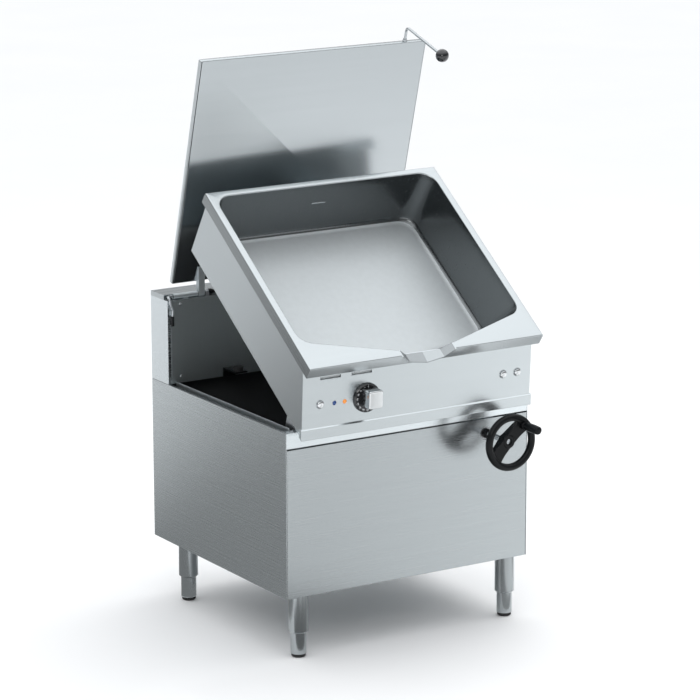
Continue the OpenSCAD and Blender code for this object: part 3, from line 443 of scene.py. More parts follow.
@dataclass(frozen=True)
class ZincPlate(Finish):
    """Zinc-plated steel with its faint crystals."""

    crystals: float = 160.0
    cloud: float = 0.03
    dark: float = 0.9
    smooth: float = 0.28
    rough: float = 0.4
    depth: float = 0.00005
    edge: float = 0.0008

    def paint(self, graph: Graph) -> None:
        """Paint the metal with its crystals.

        Args:
            graph: The material's empty tree.
        """
        cells = graph.feed(
            "ShaderNodeTexVoronoi", "Distance", {"Vector": graph.place(), "Scale": self.crystals})
        soft = graph.pattern((self.cloud,) * 3, detail=3.0)
        graph.surface(
            Base_Color=self.mottled(graph, soft, self.dark), Metallic=1.0,
            Roughness=graph.between(cells, self.smooth, self.rough),
            Normal=graph.relief(cells, self.depth, self.edge))


@dataclass(frozen=True)
class CastBronze(Finish):
    """Turned bronze with a slightly darker bloom."""

    spots: float = 0.006
    dark: float = 0.7
    smooth: float = 0.28
    rough: float = 0.45
    depth: float = 0.00005
    edge: float = 0.0006

    def paint(self, graph: Graph) -> None:
        """Paint the metal, rougher where it has its bloom.

        Args:
            graph: The material's empty tree.
        """
        bloom = graph.pattern((self.spots,) * 3, detail=4.0)
        graph.surface(
            Base_Color=self.mottled(graph, bloom, self.dark), Metallic=1.0,
            Roughness=graph.between(bloom, self.smooth, self.rough),
            Normal=graph.relief(bloom, self.depth, self.edge))


@dataclass(frozen=True)
class Moulded(Finish):
    """Moulded plastic or rubber with a fine grain."""

    roughness: float = 0.35
    grain: float = 0.0009
    coat: float = 0.0
    shine: float = 0.5
    worn: float = 0.03
    dark: float = 0.8
    light: float = 1.25
    depth: float = 0.00006
    edge: float = 0.0008
    worn_smoother: float = 0.85
    worn_rougher: float = 1.2
    coat_rough: float = 0.08

    def paint(self, graph: Graph) -> None:
        """Paint the plastic, a little worn in patches.

        Args:
            graph: The material's empty tree.
        """
        fine = graph.pattern((self.grain,) * 3)
        worn = graph.pattern((self.worn,) * 3, detail=4.0)
        graph.surface(
            Base_Color=self.mottled(graph, worn, self.dark, self.light),
            Roughness=graph.between(
                worn, self.roughness * self.worn_smoother, self.roughness * self.worn_rougher),
            Coat_Weight=self.coat, Coat_Roughness=self.coat_rough, Specular_IOR_Level=self.shine,
            Normal=graph.relief(fine, self.depth, self.edge))


@dataclass(frozen=True)
class LampLens(Finish):
    """Tinted lens of a pilot lamp with its moulded facets."""

    glow: float = 0.25
    facet: float = 0.0018
    dark: float = 0.8
    light: float = 1.15
    depth: float = 0.0001
    edge: float = 0.0004
    roughness: float = 0.12
    coat_rough: float = 0.03

    def paint(self, graph: Graph) -> None:
        """Paint the lens with its facets and a faint glow.

        Args:
            graph: The material's empty tree.
        """
        facets = graph.pattern((self.facet,) * 3, detail=0.0)
        graph.surface(
            Base_Color=self.mottled(graph, facets, self.dark, self.light), Roughness=self.roughness,
            Coat_Weight=1.0, Coat_Roughness=self.coat_rough, Emission_Color=(*self.colour, 1.0),
            Emission_Strength=self.glow, Normal=graph.relief(facets, self.depth, self.edge))


@dataclass(frozen=True)
class PrintInk(Finish):
    """Printed marks on the dial."""

    grain: float = 0.0005
    dark: float = 0.92
    roughness: float = 0.5

    def paint(self, graph: Graph) -> None:
        """Paint the ink with its grain."""
        grain = graph.pattern((self.grain,) * 3)
        graph.surface(Base_Color=self.mottled(graph, grain, self.dark), Roughness=self.roughness)


class Finishes:
    """All finishes of the part, each built once."""

    def __init__(self) -> None:
        """Start with none built."""
        self.built: dict[str, bpy.types.Material] = {}

    def get(self, finish: Finish) -> bpy.types.Material:
        """Return the finish's material, and build it if it is new.

        Args:
            finish: The finish.

        Returns:
            Its material.
        """
        if finish.name not in self.built:
            self.built[finish.name] = finish.build()
        return self.built[finish.name]


STEEL: Colour = (0.52, 0.555, 0.57)
TILT = LAYOUT.tilt
FRONT = LinedSteel("steel_front", STEEL, 0.25, Grain.ACROSS)
SIDE = LinedSteel("steel_side", STEEL, 0.27, Grain.BACK)
BASE_AND_REAR = LinedSteel("steel_base", STEEL, 0.32, Grain.ACROSS)
# The tints on these copies of the one stainless steel are painted light and shade: the column, gutters and
# rail lighter, the cover and legs darker
COLUMN = LinedSteel("steel_column", tinted(STEEL, 1.30), 0.27, Grain.ACROSS, middle=(0.0, 0.42, 0.77))
GUTTER = BrushedSteel("steel_gutter", tinted(STEEL, 1.1), 0.42, Grain.BACK)
COVER = BrushedSteel("steel_cover", tinted(STEEL, 0.92), 0.27, Grain.ACROSS)
RAIL = BrushedSteel("steel_rail", tinted(STEEL, 1.62), 0.25, Grain.ACROSS)
LEGS = BrushedSteel("steel_legs", tinted(STEEL, 0.84), 0.20, Grain.UP)
DARK_PLATE = BrushedSteel("steel_polished_plate", (0.48, 0.53, 0.54), 0.36, Grain.UP, metal=0.86)
# The pan's areas and its casing are copies of the one steel whose tints are painted light and shade: the
# well's walls, side lips, spout and casing darker, the well floor lighter
DECK = BrushedSteel("steel_deck", STEEL, 0.24, Grain.ACROSS, TILT)
WALLS = BrushedSteel("steel_well_walls", tinted(STEEL, 0.35), 0.25, Grain.UP, TILT)
FLOOR = BrushedSteel("steel_well_floor", tinted(STEEL, 1.06), 0.42, Grain.EVEN, TILT, 0.02, metal=0.32)
SPOUT = BrushedSteel("steel_spout", tinted(STEEL, 0.84), 0.24, Grain.BACK, TILT)
SPOUT_SHADE = BrushedSteel("steel_spout_painted_shade", tinted(STEEL, 0.62), 0.24, Grain.BACK, TILT)
SIDE_LIP = BrushedSteel("steel_side_lips", tinted(STEEL, 0.52), 0.26, Grain.BACK, TILT)
CASING = BrushedSteel("steel_casing", tinted(STEEL, 0.92), 0.24, Grain.BACK, TILT)
# FASCIA is the steel made lighter by its tint: painted light
FASCIA = BrushedSteel("steel_fascia", tinted(STEEL, 1.26), 0.24, Grain.ACROSS)
LID_OUT = BrushedSteel("steel_lid_outside", STEEL, 0.26, Grain.ACROSS)
LID_IN = BrushedSteel("steel_lid_inside", STEEL, 0.21, Grain.ACROSS, cloud=0.012)
# ARMS is the steel made rougher and lighter; its lighter tint is painted light
ARMS = BrushedSteel("steel_hinge_arms", tinted(STEEL, 1.35), 0.48, Grain.ACROSS)
CHROME = Polished("chrome", (0.80, 0.82, 0.83))
# The chrome made darker for the knob cap's left and right faces: painted shade
CHROME_SHADED_SIDES = Polished("chrome_sides_painted_shade", (0.34, 0.36, 0.37), 0.12)
BRIGHT_ROD = Polished("bright_rod", (0.50, 0.53, 0.55), 0.14)
ZINC = ZincPlate("zinc_plate", (0.55, 0.57, 0.59))
BRONZE = CastBronze("bronze", (0.63, 0.42, 0.20))
ELEMENT = ZincPlate("element_sheath", (0.20, 0.21, 0.21))
# Zinc plate made near black; on the terminal box inside the cabinet this is painted shade, and the rest
# brackets share the colour
NEAR_BLACK_ZINC = ZincPlate("near_black_zinc_plate", (0.045, 0.048, 0.050))
BLACK = Moulded("black_plastic", (0.003, 0.004, 0.005), 0.32, shine=0.24)
DIAL_BLACK = Moulded("dial_black", (0.006, 0.007, 0.009), 0.20, 0.0012, 0.6)
# The grey of the sheet behind the vents is painted shade: it stands in for the shade seen through them
VENT_SHADE = Moulded("vent_shade_sheet_grey", (0.60, 0.63, 0.64), 0.55)
BALL_BLACK = Moulded("ball_black", (0.006, 0.007, 0.010), 0.12, 0.002, 1.0)
MATT_BLACK = Moulded("matt_black_plastic", (0.014, 0.015, 0.016), 0.5)
RUBBER = Moulded("rubber", (0.020, 0.020, 0.021), 0.7, 0.0014)
BLUE_LENS = LampLens("lens_blue", (0.010, 0.055, 0.22), 0.12)
ORANGE_LENS = LampLens("lens_orange", (0.82, 0.27, 0.035), 0.35)
WHITE_INK = PrintInk("white_ink", (0.80, 0.82, 0.84))


def smoothed(mesh: bpy.types.Mesh, crease: float) -> None:
    """Shade a mesh smooth, apart from edges sharper than an angle in degrees."""
    mesh.shade_smooth()
    mesh.set_sharp_from_angle(angle=math.radians(crease))


def linked(name: str, data: Any) -> bpy.types.Object:
    """Add an object to the scene.

    Args:
        name: Its name.
        data: Its mesh, curve, light or camera.

    Returns:
        The object.
    """
    thing = bpy.data.objects.new(name, data)
    bpy.context.scene.collection.objects.link(thing)
    return thing


def settled(thing: bpy.types.Object) -> bpy.types.Mesh:
    """Take an object's shape with its modifiers.

    Args:
        thing: The object.

    Returns:
        The shape as a mesh of its own.
    """
    bpy.context.view_layer.update()
    graph = bpy.context.evaluated_depsgraph_get()
    return bpy.data.meshes.new_from_object(thing.evaluated_get(graph))


def arc(radius: float, start: float, end: float, steps: int, middle: Flat = (0.0, 0.0)) -> list[Flat]:
    """Return points on an arc.

    Args:
        radius: Its radius.
        start: Its first angle in degrees.
        end: Its last angle in degrees.
        steps: Number of steps.
        middle: Its middle.

    Returns:
        The points, in order.
    """
    angles = [math.radians(start + (end - start) * k / steps) for k in range(steps + 1)]
    return [(middle[0] + radius * math.cos(a), middle[1] + radius * math.sin(a)) for a in angles]


def rounded(width: float, height: float, radius: float, steps: int = 6) -> list[Flat]:
    """Return the outline of a rectangle with round corners, about the origin.

    Args:
        width: Its size in X.
        height: Its size in Y.
        radius: Radius of its corners.
        steps: Steps round each corner.

    Returns:
        The points, in order.
    """
    x, y = width / 2 - radius, height / 2 - radius
    points: list[Flat] = []
    for start, middle in ((0, (x, y)), (90, (-x, y)), (180, (-x, -y)), (270, (x, -y))):
        points += arc(radius, start, start + 90, steps, middle)
    return points


def rectangle(left: float, right: float, low: float, high: float) -> list[Flat]:
    """Return a rectangle's corners."""
    return [(left, low), (right, low), (right, high), (left, high)]


def around(steps: int) -> list[float]:
    """Return the angles of a full turn, the last one back at the start."""
    return [2 * math.pi * k / steps for k in range(steps + 1)]


class Form:
    """A mesh that grows in millimetres in its own frame."""

    def __init__(self) -> None:
        """Start empty."""
        self.mesh = bmesh.new()

    def loft(self, rings: Sequence[Sequence[Vector]], place: Matrix = Matrix.Identity(4),
             capped: bool = True) -> None:
        """Skin closed rings of equal count, and cap both ends.

        Args:
            rings: The rings' points.
            place: Turn and move of the rings in the form's frame.
            capped: Whether the ends are closed.
        """
        loops = [[self.mesh.verts.new(place @ Vector(point)) for point in ring] for ring in rings]
        count = len(loops[0])
        for low, high in zip(loops, loops[1:]):
            for i in range(count):
                j = (i + 1) % count
                self.mesh.faces.new((low[i], low[j], high[j], high[i]))
        if capped:
            self.mesh.faces.new(list(reversed(loops[0])))
            self.mesh.faces.new(loops[-1])

    def stack(self, levels: Sequence[tuple[Sequence[Flat], float]]) -> None:
        """Skin flat outlines of equal count, each at its height.

        Args:
            levels: Each outline with its height.
        """
        self.loft([[Vector((x, y, z)) for x, y in outline] for outline, z in levels])

    def lathe(self, profile: Sequence[Flat], steps: int = 64, place: Matrix = Matrix.Identity(4)) -> None:
        """Turn an open profile about Z and close its ends.

        Args:
            profile: Radius and height of each point.
            steps: Facets round the axis.
            place: Turn and move in the form's frame.
        """
        turns = [(math.cos(a), math.sin(a)) for a in around(steps)[:-1]]
        self.loft([[Vector((r * c, r * s, z)) for c, s in turns] for r, z in profile], place)

    def wind(self, section: Sequence[Flat], steps: int = 64) -> None:
        """Turn a closed section about Z.

        Args:
            section: Radius and height of each point.
            steps: Facets round the axis.
        """
        turns = [(math.cos(a), math.sin(a)) for a in around(steps)]
        self.loft([[Vector((r * c, r * s, z)) for r, z in section] for c, s in turns], capped=False)

    def join(self, mesh: bpy.types.Mesh, place: Matrix = Matrix.Identity(4)) -> None:
        """Add a copy of a mesh.

        Args:
            mesh: The mesh.
            place: Turn and move of the copy in the form's frame.
        """
        copy = mesh.copy()
        copy.transform(place)
        self.mesh.from_mesh(copy)
        bpy.data.meshes.remove(copy)

    def make(self, name: str, place: Matrix = Matrix.Identity(4), crease: float = 32.0,
             scale: float = MM) -> bpy.types.Object:
        """Return the finished object, with its place in its mesh.

        Args:
            name: The object's name.
            place: The form's place in the row frame.
            crease: Angle above which an edge stays sharp.
            scale: Metres in one unit of the form.

        Returns:
            The object, at the origin.
        """
        bmesh.ops.remove_doubles(self.mesh, verts=self.mesh.verts, dist=WELD)
        bmesh.ops.recalc_face_normals(self.mesh, faces=self.mesh.faces)
        self.mesh.transform(place @ Matrix.Scale(scale, 4))
        data = bpy.data.meshes.new(name)
        self.mesh.to_mesh(data)
        self.mesh.free()
        smoothed(data, crease)
        return linked(name, data)


def solid(name: str, rings: Sequence[Sequence[Vector]],
          place: Matrix = Matrix.Identity(4)) -> bpy.types.Object:
    """Return a solid skinned over rings and left in millimetres, to carve with.

    Args:
        name: The object's name.
        rings: The rings' points.
        place: Turn and move of the rings.

    Returns:
        The object.
    """
    form = Form()
    form.loft(rings, place)
    return form.make(name, scale=1.0)


def carve(target: bpy.types.Object, tool: bpy.types.Object, operation: str) -> None:
    """Cut a tool from a form, or join it on, and keep the result as its mesh.

    Args:
        target: The form that changes.
        tool: The form that it is cut or joined with.
        operation: The operation's name.
    """
    modifier = target.modifiers.new("carve", "BOOLEAN")
    modifier.operation = operation
    modifier.solver = "EXACT"
    modifier.object = tool
    data = settled(target)
    target.modifiers.remove(modifier)
    old = target.data
    target.data = data
    bpy.data.meshes.remove(old)


def polyline(path: Sequence[Point | Vector]) -> bpy.types.Object:
    """Return a curve object through points.

    Args:
        path: The points, in millimetres.

    Returns:
        The object.
    """
    curve = bpy.data.curves.new("path", "CURVE")
    curve.dimensions = "3D"
    spline = curve.splines.new("POLY")
    spline.points.add(len(path) - 1)
    for point, at in zip(spline.points, path):
        point.co = (at[0] * MM, at[1] * MM, at[2] * MM, 1.0)
    return linked("path", curve)


def flat_mesh(name: str, half_x: float, half_y: float) -> bpy.types.Mesh:
    """Return a flat rectangle about the origin, which faces up.

    Args:
        name: The mesh's name.
        half_x: Half its size in X.
        half_y: Half its size in Y.

    Returns:
        The mesh.
    """
    data = bpy.data.meshes.new(name)
    corners = [(x, y, 0) for x, y in rectangle(-half_x, half_x, -half_y, half_y)]
    data.from_pydata(corners, [], [(0, 1, 2, 3)])
    return data


class Recipe(NodeTree):
    """A Geometry Nodes tree with named inputs, whose result is kept as a plain mesh."""

    def __init__(self, name: str, **inputs: str) -> None:
        """Start a tree with a geometry input and output and its own inputs.

        Args:
            name: The tree's name.
            **inputs: The socket type of each further input.
        """
        super().__init__(bpy.data.node_groups.new(name, "GeometryNodeTree"))
        sockets = self.tree.interface
        self.keys = {
            key: sockets.new_socket(name=key, in_out="INPUT", socket_type="NodeSocket" + kind).identifier
            for key, kind in {"Geometry": "Geometry", **inputs}.items()}
        sockets.new_socket(name="Geometry", in_out="OUTPUT", socket_type="NodeSocketGeometry")
        self.inlet = self.add("NodeGroupInput").outputs
        self.outlet = self.add("NodeGroupOutput").inputs["Geometry"]

    def close(self, geometry: Socket) -> None:
        """End the tree in Realize Instances and Set Material.

        Args:
            geometry: What the tree has made.
        """
        real = self.feed("GeometryNodeRealizeInstances", "Geometry", {"Geometry": geometry})
        painted = {"Geometry": real, "Material": self.inlet["Material"]}
        self.put(self.outlet, self.feed("GeometryNodeSetMaterial", "Geometry", painted))

    def sweep(self, path: Socket, radius: str, sides: int) -> None:
        """Sweep a round section along a path and close the tree.

        Args:
            path: The path's curve.
            radius: The input that holds the section's radius.
            sides: Facets round the section.
        """
        circle = {"Resolution": sides, "Radius": self.inlet[radius]}
        section = self.feed("GeometryNodeCurvePrimitiveCircle", "Curve", circle)
        swept = {"Curve": path, "Profile Curve": section, "Fill Caps": True}
        self.close(self.feed("GeometryNodeCurveToMesh", "Mesh", swept))

    def bake(self, host: bpy.types.Object, name: str, place: Matrix, crease: float = 32.0,
             **values: Any) -> bpy.types.Object:
        """Run the tree on an object and keep the result as a plain mesh.

        Args:
            host: The object that the tree works on, which is removed.
            name: The new object's name.
            place: Place of the result in the row frame.
            crease: Angle above which an edge stays sharp.
            **values: The named inputs.

        Returns:
            The new object, at the origin.
        """
        modifier = host.modifiers.new(self.tree.name, "NODES")
        modifier.node_group = self.tree
        for key, value in values.items():
            modifier[self.keys[key]] = value
        host.update_tag()
        data = settled(host)
        data.name = name
        data.transform(place)
        host.modifiers.remove(modifier)
        bpy.data.objects.remove(host)
        smoothed(data, crease)
        return linked(name, data)


class RoundRepeat(Recipe):
    """Repeats a shape round the Z axis."""

    def __init__(self) -> None:
        """Build the tree."""
        super().__init__("round_repeat", Count="Int", Start="Float", Step="Float", Material="Material")
        index = self.feed("GeometryNodeInputIndex", "Index")
        places = {0: index, 1: self.inlet["Step"], 2: self.inlet["Start"]}
        angle = self.feed("ShaderNodeMath", "Value", places, operation="MULTIPLY_ADD")
        self.close(self.feed("GeometryNodeInstanceOnPoints", "Instances", {
            "Points": self.feed("GeometryNodePoints", 0, {"Count": self.inlet["Count"]}),
            "Instance": self.inlet["Geometry"],
            "Rotation": self.feed("ShaderNodeCombineXYZ", "Vector", {"Z": angle})}))


class GridRepeat(Recipe):
    """Repeats a shape on a flat grid."""

    def __init__(self) -> None:
        """Build the tree."""
        super().__init__(
            "grid_repeat", Columns="Int", Rows="Int", Width="Float", Height="Float", Material="Material")
        sizes = {"Size X": "Width", "Size Y": "Height", "Vertices X": "Columns", "Vertices Y": "Rows"}
        grid = self.feed(
            "GeometryNodeMeshGrid", "Mesh", {key: self.inlet[name] for key, name in sizes.items()})
        self.close(self.feed("GeometryNodeInstanceOnPoints", "Instances", {
            "Points": grid, "Instance": self.inlet["Geometry"]}))


class BentRod(Recipe):
    """Sweeps a round section along a path, with its corners bent to a radius."""

    def __init__(self) -> None:
        """Build the tree."""
        super().__init__("bent_rod", Radius="Float", Bend="Float", Material="Material")
        bent = {"Curve": self.inlet["Geometry"], "Radius": self.inlet["Bend"], "Count": 12}
        self.sweep(self.feed("GeometryNodeFilletCurve", "Curve", bent, mode="POLY"), "Radius", 28)


class ThreadRidge(Recipe):
    """Winds the ridge of a lead screw round the Z axis."""

    def __init__(self) -> None:
        """Build the tree."""
        super().__init__(
            "thread_ridge", Turns="Float", Length="Float", Radius="Float", Ridge="Float", Material="Material")
        sizes = {"Rotations": "Turns", "Start Radius": "Radius", "End Radius": "Radius", "Height": "Length"}
        spiral = {key: self.inlet[name] for key, name in sizes.items()}
        self.sweep(self.feed("GeometryNodeCurveSpiral", "Curve", {"Resolution": 40, **spiral}), "Ridge", 6)


class SoftShade(Recipe):
    """Shades a CAD node's curved faces smooth and leaves its edges sharp."""

    crease = 28.0
    weld = 0.000004

    def __init__(self) -> None:
        """Build the tree."""
        super().__init__("soft_shade", Crease="Float")
        loose = {"Geometry": self.inlet["Geometry"], "Distance": self.weld}
        merged = self.feed("GeometryNodeMergeByDistance", "Geometry", loose)
        faces = self.feed("GeometryNodeSetShadeSmooth", "Geometry", {"Geometry": merged}, domain="FACE")
        angle = self.feed("GeometryNodeInputMeshEdgeAngle", "Unsigned Angle")
        blunt = self.feed(
            "FunctionNodeCompare", "Result", {0: angle, 1: self.inlet["Crease"]}, data_type="FLOAT",
            operation="LESS_EQUAL")
        edges = {"Geometry": faces, "Shade Smooth": blunt}
        self.put(self.outlet, self.feed("GeometryNodeSetShadeSmooth", "Geometry", edges, domain="EDGE"))

    def apply(self, node: bpy.types.Object) -> None:
        """Put the tree on a CAD node.

        Args:
            node: The CAD node.
        """
        modifier = node.modifiers.new("soft_shade", "NODES")
        modifier.node_group = self.tree
        modifier[self.keys["Crease"]] = math.radians(self.crease)


class Workshop:
    """The frame, the finishes and the trees that all sub-assemblies share."""

    def __init__(self, frame: dict[str, Any]) -> None:
        """Keep the frame and build the trees.
        """
        self.nodes: dict[str, bpy.types.Object] = frame["nodes"]
        self.finishes = Finishes()
        self.round = RoundRepeat()
        self.grid = GridRepeat()
        self.rod = BentRod()
        self.thread = ThreadRidge()
        self.shade = SoftShade()
        self.dressed: set[str] = set()

    def dress(self, finish: Finish, *names: str) -> None:
        """Give CAD nodes a finish and smooth shading.

        Args:
            finish: The finish.
            *names: The nodes' names.
        """
        material = self.finishes.get(finish)
        for name in names:
            node = self.nodes[name]
            node.data.materials.clear()
            node.data.materials.append(material)
            self.shade.apply(node)
            self.dressed.add(name)
            LOG.info("node %s: %s", name, finish.name)

    def keep(self, piece: bpy.types.Object, body: str, slot: str, finish: Finish | None,
             *replaced: str) -> None:
        """Settle a finished piece on its body.

        Args:
            piece: The piece, at the origin.
            body: The body that it moves with.
            slot: The record's material slot; not used.
            finish: Its finish, or nothing where its faces have theirs already.
            *replaced: The CAD nodes that it stands for.
        """
        if finish is not None:
            piece.data.materials.clear()
            piece.data.materials.append(self.finishes.get(finish))
        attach(piece, body)
        if replaced:
            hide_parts(*replaced)
            self.dressed.update(replaced)
        LOG.info("piece %s on %s: %d faces", piece.name, body, len(piece.data.polygons))


@dataclass
class Cabinet:
    """Panels, column, legs and drive parts that stay still."""

    shop: Workshop
    screw_head: float = 9.0
    screw_high: float = 2.4
    screw_shank: float = 6.0
    recess: float = 1.2
    screw_x: float = 358.0
    screw_low: float = 671.0
    screw_top: float = 883.7

    def screw(self) -> bpy.types.Object:
        """Return one domed screw head with a round recess."""
        radius, high, recess = self.screw_head / 2, self.screw_high, self.recess
        profile = [(radius * 0.96, -self.screw_shank), (radius * 0.96, 0.1), (radius, 0.2)]
        profile += [(recess + (radius - recess) * c, 0.3 + (high - 0.3) * s) for c, s in arc(1.0, 0, 90, 6)]
        profile += [(recess, high - 1.1), (AXIS, high - 1.4)]
        form = Form()
        form.lathe(profile, 24)
        return form.make("screw_head", crease=40.0)

    def build(self) -> None:
        """Build the column's screws."""
        middle = (self.screw_low + self.screw_top) / 2
        place = LAYOUT.cabinet() @ shift(0, LAYOUT.column_y, middle) @ lean(90.0)
        screws = self.shop.grid.bake(
            self.screw(), "column_screw_heads", place, 40.0, Columns=2, Rows=2, Width=2 * self.screw_x * MM,
            Height=(self.screw_top - self.screw_low) * MM, Material=self.shop.finishes.get(ZINC))
        self.shop.keep(screws, "cabinet", "zinc_steel", None, "column_screws")

    def dress(self) -> None:
        """Finish the CAD nodes."""
        dress = self.shop.dress
        dress(SIDE, "side_panel_left", "side_panel_right")
        dress(GUTTER, "gutters")
        dress(FRONT, "front_panel")
        dress(BASE_AND_REAR, "base_panel", "rear_panel")
        dress(RAIL, "front_rail")
        dress(COLUMN, "column_shell")
        dress(COVER, "column_cover")
        dress(DARK_PLATE, "column_front_plate")
        dress(LEGS, "leg_tubes", "foot_tubes")
        dress(RUBBER, "foot_pads", "rest_buffers")
        # The terminal box's near-black colour is painted shade
        dress(NEAR_BLACK_ZINC, "rest_brackets", "terminal_box")
        dress(ZINC, "pivot_bracket_left", "pivot_bracket_right", "drive_upright", "spindle_bearing",
              "rear_bearing_bracket", "lid_hinge_lugs")
        dress(BRONZE, "bearing_bushes")
        dress(BLACK, "torsion_sleeve")
        dress(MATT_BLACK, "cable_gland")
        dress(ARMS, "torsion_tubes")


@dataclass
class TorsionBar:
    """Bright bar of the lid's counterbalance, bent down in front of the column.

    It leaves its tube along X, and its leg runs down through points that are given by their distance from
    the leg's foot in X and Y and by their height.
    """

    shop: Workshop
    radius: float = 3.5
    tube_x: float = 297.0
    leg_x: float = 387.0
    leg_y: float = 646.7
    bow: float = 8.5
    leg: tuple[Point, ...] = ((-8.5, 0.0, 904.2), (-7.0, 0.0, 887.0), (0.4, -0.5, 868.0), (0.4, 0.0, 852.0),
                              (0.0, 0.0, 842.0), (0.0, 0.0, 827.2))
    bend: float = 8.0

    def build(self) -> None:
        """Sweep the bar along its path."""
        path = [(x, LAYOUT.hinge_y, LAYOUT.hinge_z) for x in (-self.tube_x, -self.leg_x - self.bow)]
        path += [(x - self.leg_x, self.leg_y + y, z) for x, y, z in self.leg]
        bar = self.shop.rod.bake(
            polyline(path), "torsion_bar_bright", LAYOUT.cabinet(), 40.0, Radius=self.radius * MM,
            Bend=self.bend * MM, Material=self.shop.finishes.get(BRIGHT_ROD))
        self.shop.keep(bar, "cabinet", "chrome", None, "torsion_bar")


@dataclass
class PanSkin:
    """Deck, lip, well and spout as one pressed sheet.

    The well's outline has six corners, from the spout's left round to the well's front left. arcs and runs
    give the steps round each corner and along the side that follows it.
    """

    shop: Workshop
    rim_w: float = 764.0
    rim_d: float = 681.0
    lip: float = 36.0
    sheet: float = 3.0
    side_rim: float = 20.0
    rear_rim: float = 18.0
    front_rim: float = 20.0
    shoulder: float = 100.0
    corner: float = 48.0
    deep: float = 178.0
    cove: float = 20.0
    draft: float = 12.0
    draft_top: float = 1.2
    front_run: float = 98.0
    shoulder_run: float = 50.0
    spout_w: float = 170.0
    spout_floor_w: float = 113.0
    spout_deep: float = 25.0
    spout_reach: float = 10.0
    spout_vee: float = 5.0
    spout_vee_back: float = 0.6
    spout_bow: float = 6.0
    bow_share: float = 0.3
    edge: float = 3.0
    cove_steps: int = 8
    wall_steps: int = 6
    edge_steps: int = 5
    arcs: tuple[int, ...] = (5, 5, 18, 22, 22, 18)
    runs: tuple[int, ...] = (8, 10, 14, 16, 14, 10)
    mark_low: float = 70.0
    mark_w: float = 46.0
    mark_h: float = 4.0

    def ring(self, deep: float, inset: float, high: float) -> list[Vector]:
        """Return the well's outline.

        Args:
            deep: Depth at which it is drawn.
            inset: Distance that it is drawn in.
            high: Height of its points.

        Returns:
            Its points, the same number at any depth.
        """
        below = max(0.0, deep - self.spout_deep) / (self.deep - self.spout_deep)
        nose = self.front_rim + self.front_run * below
        side = self.shoulder + self.shoulder_run * (deep / self.deep)
        x, half, rear = self.rim_w / 2 - self.side_rim, self.spout_w / 2, self.rim_d - self.rear_rim
        corners = ((-half, nose), (half, nose), (x, side), (x, rear), (-x, rear), (-x, side))
        ends = [Vector(corner) for corner in corners]
        outs = []
        for start, end in zip(ends, ends[1:] + ends[:1]):
            along = (end - start).normalized()
            outs.append(Vector((along.y, -along.x)))
        arcs = []
        for i, (end, steps) in enumerate(zip(ends, self.arcs)):
            before, after = outs[i - 1], outs[i]
            middle = end - (before + after) * ((self.corner + inset) / (1.0 + before.dot(after)))
            first = math.atan2(before.y, before.x)
            sweep = (math.atan2(after.y, after.x) - first) % (2 * math.pi)
            angles = [first + sweep * k / steps for k in range(steps + 1)]
            arcs.append([middle + self.corner * Vector((math.cos(a), math.sin(a))) for a in angles])
        points: list[Vector] = []
        for bend, following, run in zip(arcs, arcs[1:] + arcs[:1], self.runs):
            points += bend + [bend[-1].lerp(following[0], k / run) for k in range(1, run)]
        return [Vector((p.x, p.y, high)) for p in points]

    def rim(self, inset: float, high: float) -> list[Vector]:
        """Return the deck's outline with as many points as the well's.

        Args:
            inset: Distance that it is drawn in.
            high: Height of its points.

        Returns:
            Its points, each beside its fellow of the well's outline.
        """
        half, rear = self.rim_w / 2, self.rim_d
        well = self.ring(0.0, 0.0, 0.0)
        points: list[Vector] = []
        at = 0
        for i, (steps, run) in enumerate(zip(self.arcs, self.runs)):
            first, last = well[at], well[at + steps]
            corner = Vector((half if i in (2, 3) else -half, 0.0 if i in (2, 5) else rear))
            start, end = Vector((corner.x, first.y)), Vector((last.x, corner.y))
            if i in (2, 4):
                start, end = Vector((first.x, corner.y)), Vector((corner.x, last.y))
            for k in range(steps + 1):
                t = k / steps
                if i in (0, 1):
                    points.append(Vector((well[at + k].x, 0.0)))
                else:
                    points.append(start.lerp(corner, 2 * t) if t <= 0.5 else corner.lerp(end, 2 * t - 1))
            at += steps + 1
            for p in well[at:at + run - 1]:
                sides = {2: (half, p.y), 3: (p.x, rear), 4: (-half, p.y)}
                points.append(Vector(sides.get(i, (p.x, 0.0))))
            at += run - 1
        low_x, high_x, low_y, high_y = -half + inset, half - inset, inset, rear - inset
        return [Vector((min(max(p.x, low_x), high_x), min(max(p.y, low_y), high_y), high)) for p in points]

    def wall(self, skin: float, top: float) -> list[list[Vector]]:
        """Return the well's rings from its floor up to a depth under the rim.

        Args:
            skin: Distance outside the inner face.
            top: Depth of the last ring.

        Returns:
            The rings, from the floor up.
        """
        low = self.deep - self.cove
        rings = []
        for k in range(self.cove_steps, -1, -1):
            a = math.radians(90 * k / self.cove_steps)
            inset = self.draft + self.cove - (self.cove + skin) * math.cos(a)
            high = -low - (self.cove + skin) * math.sin(a)
            rings.append(self.ring(low + self.cove * math.sin(a), inset, high))
        for k in range(1, self.wall_steps + 1):
            deep = low + (top - low) * k / self.wall_steps
            inset = self.draft_top + (self.draft - self.draft_top) * deep / low - skin
            rings.append(self.ring(deep, inset, -deep))
        return rings

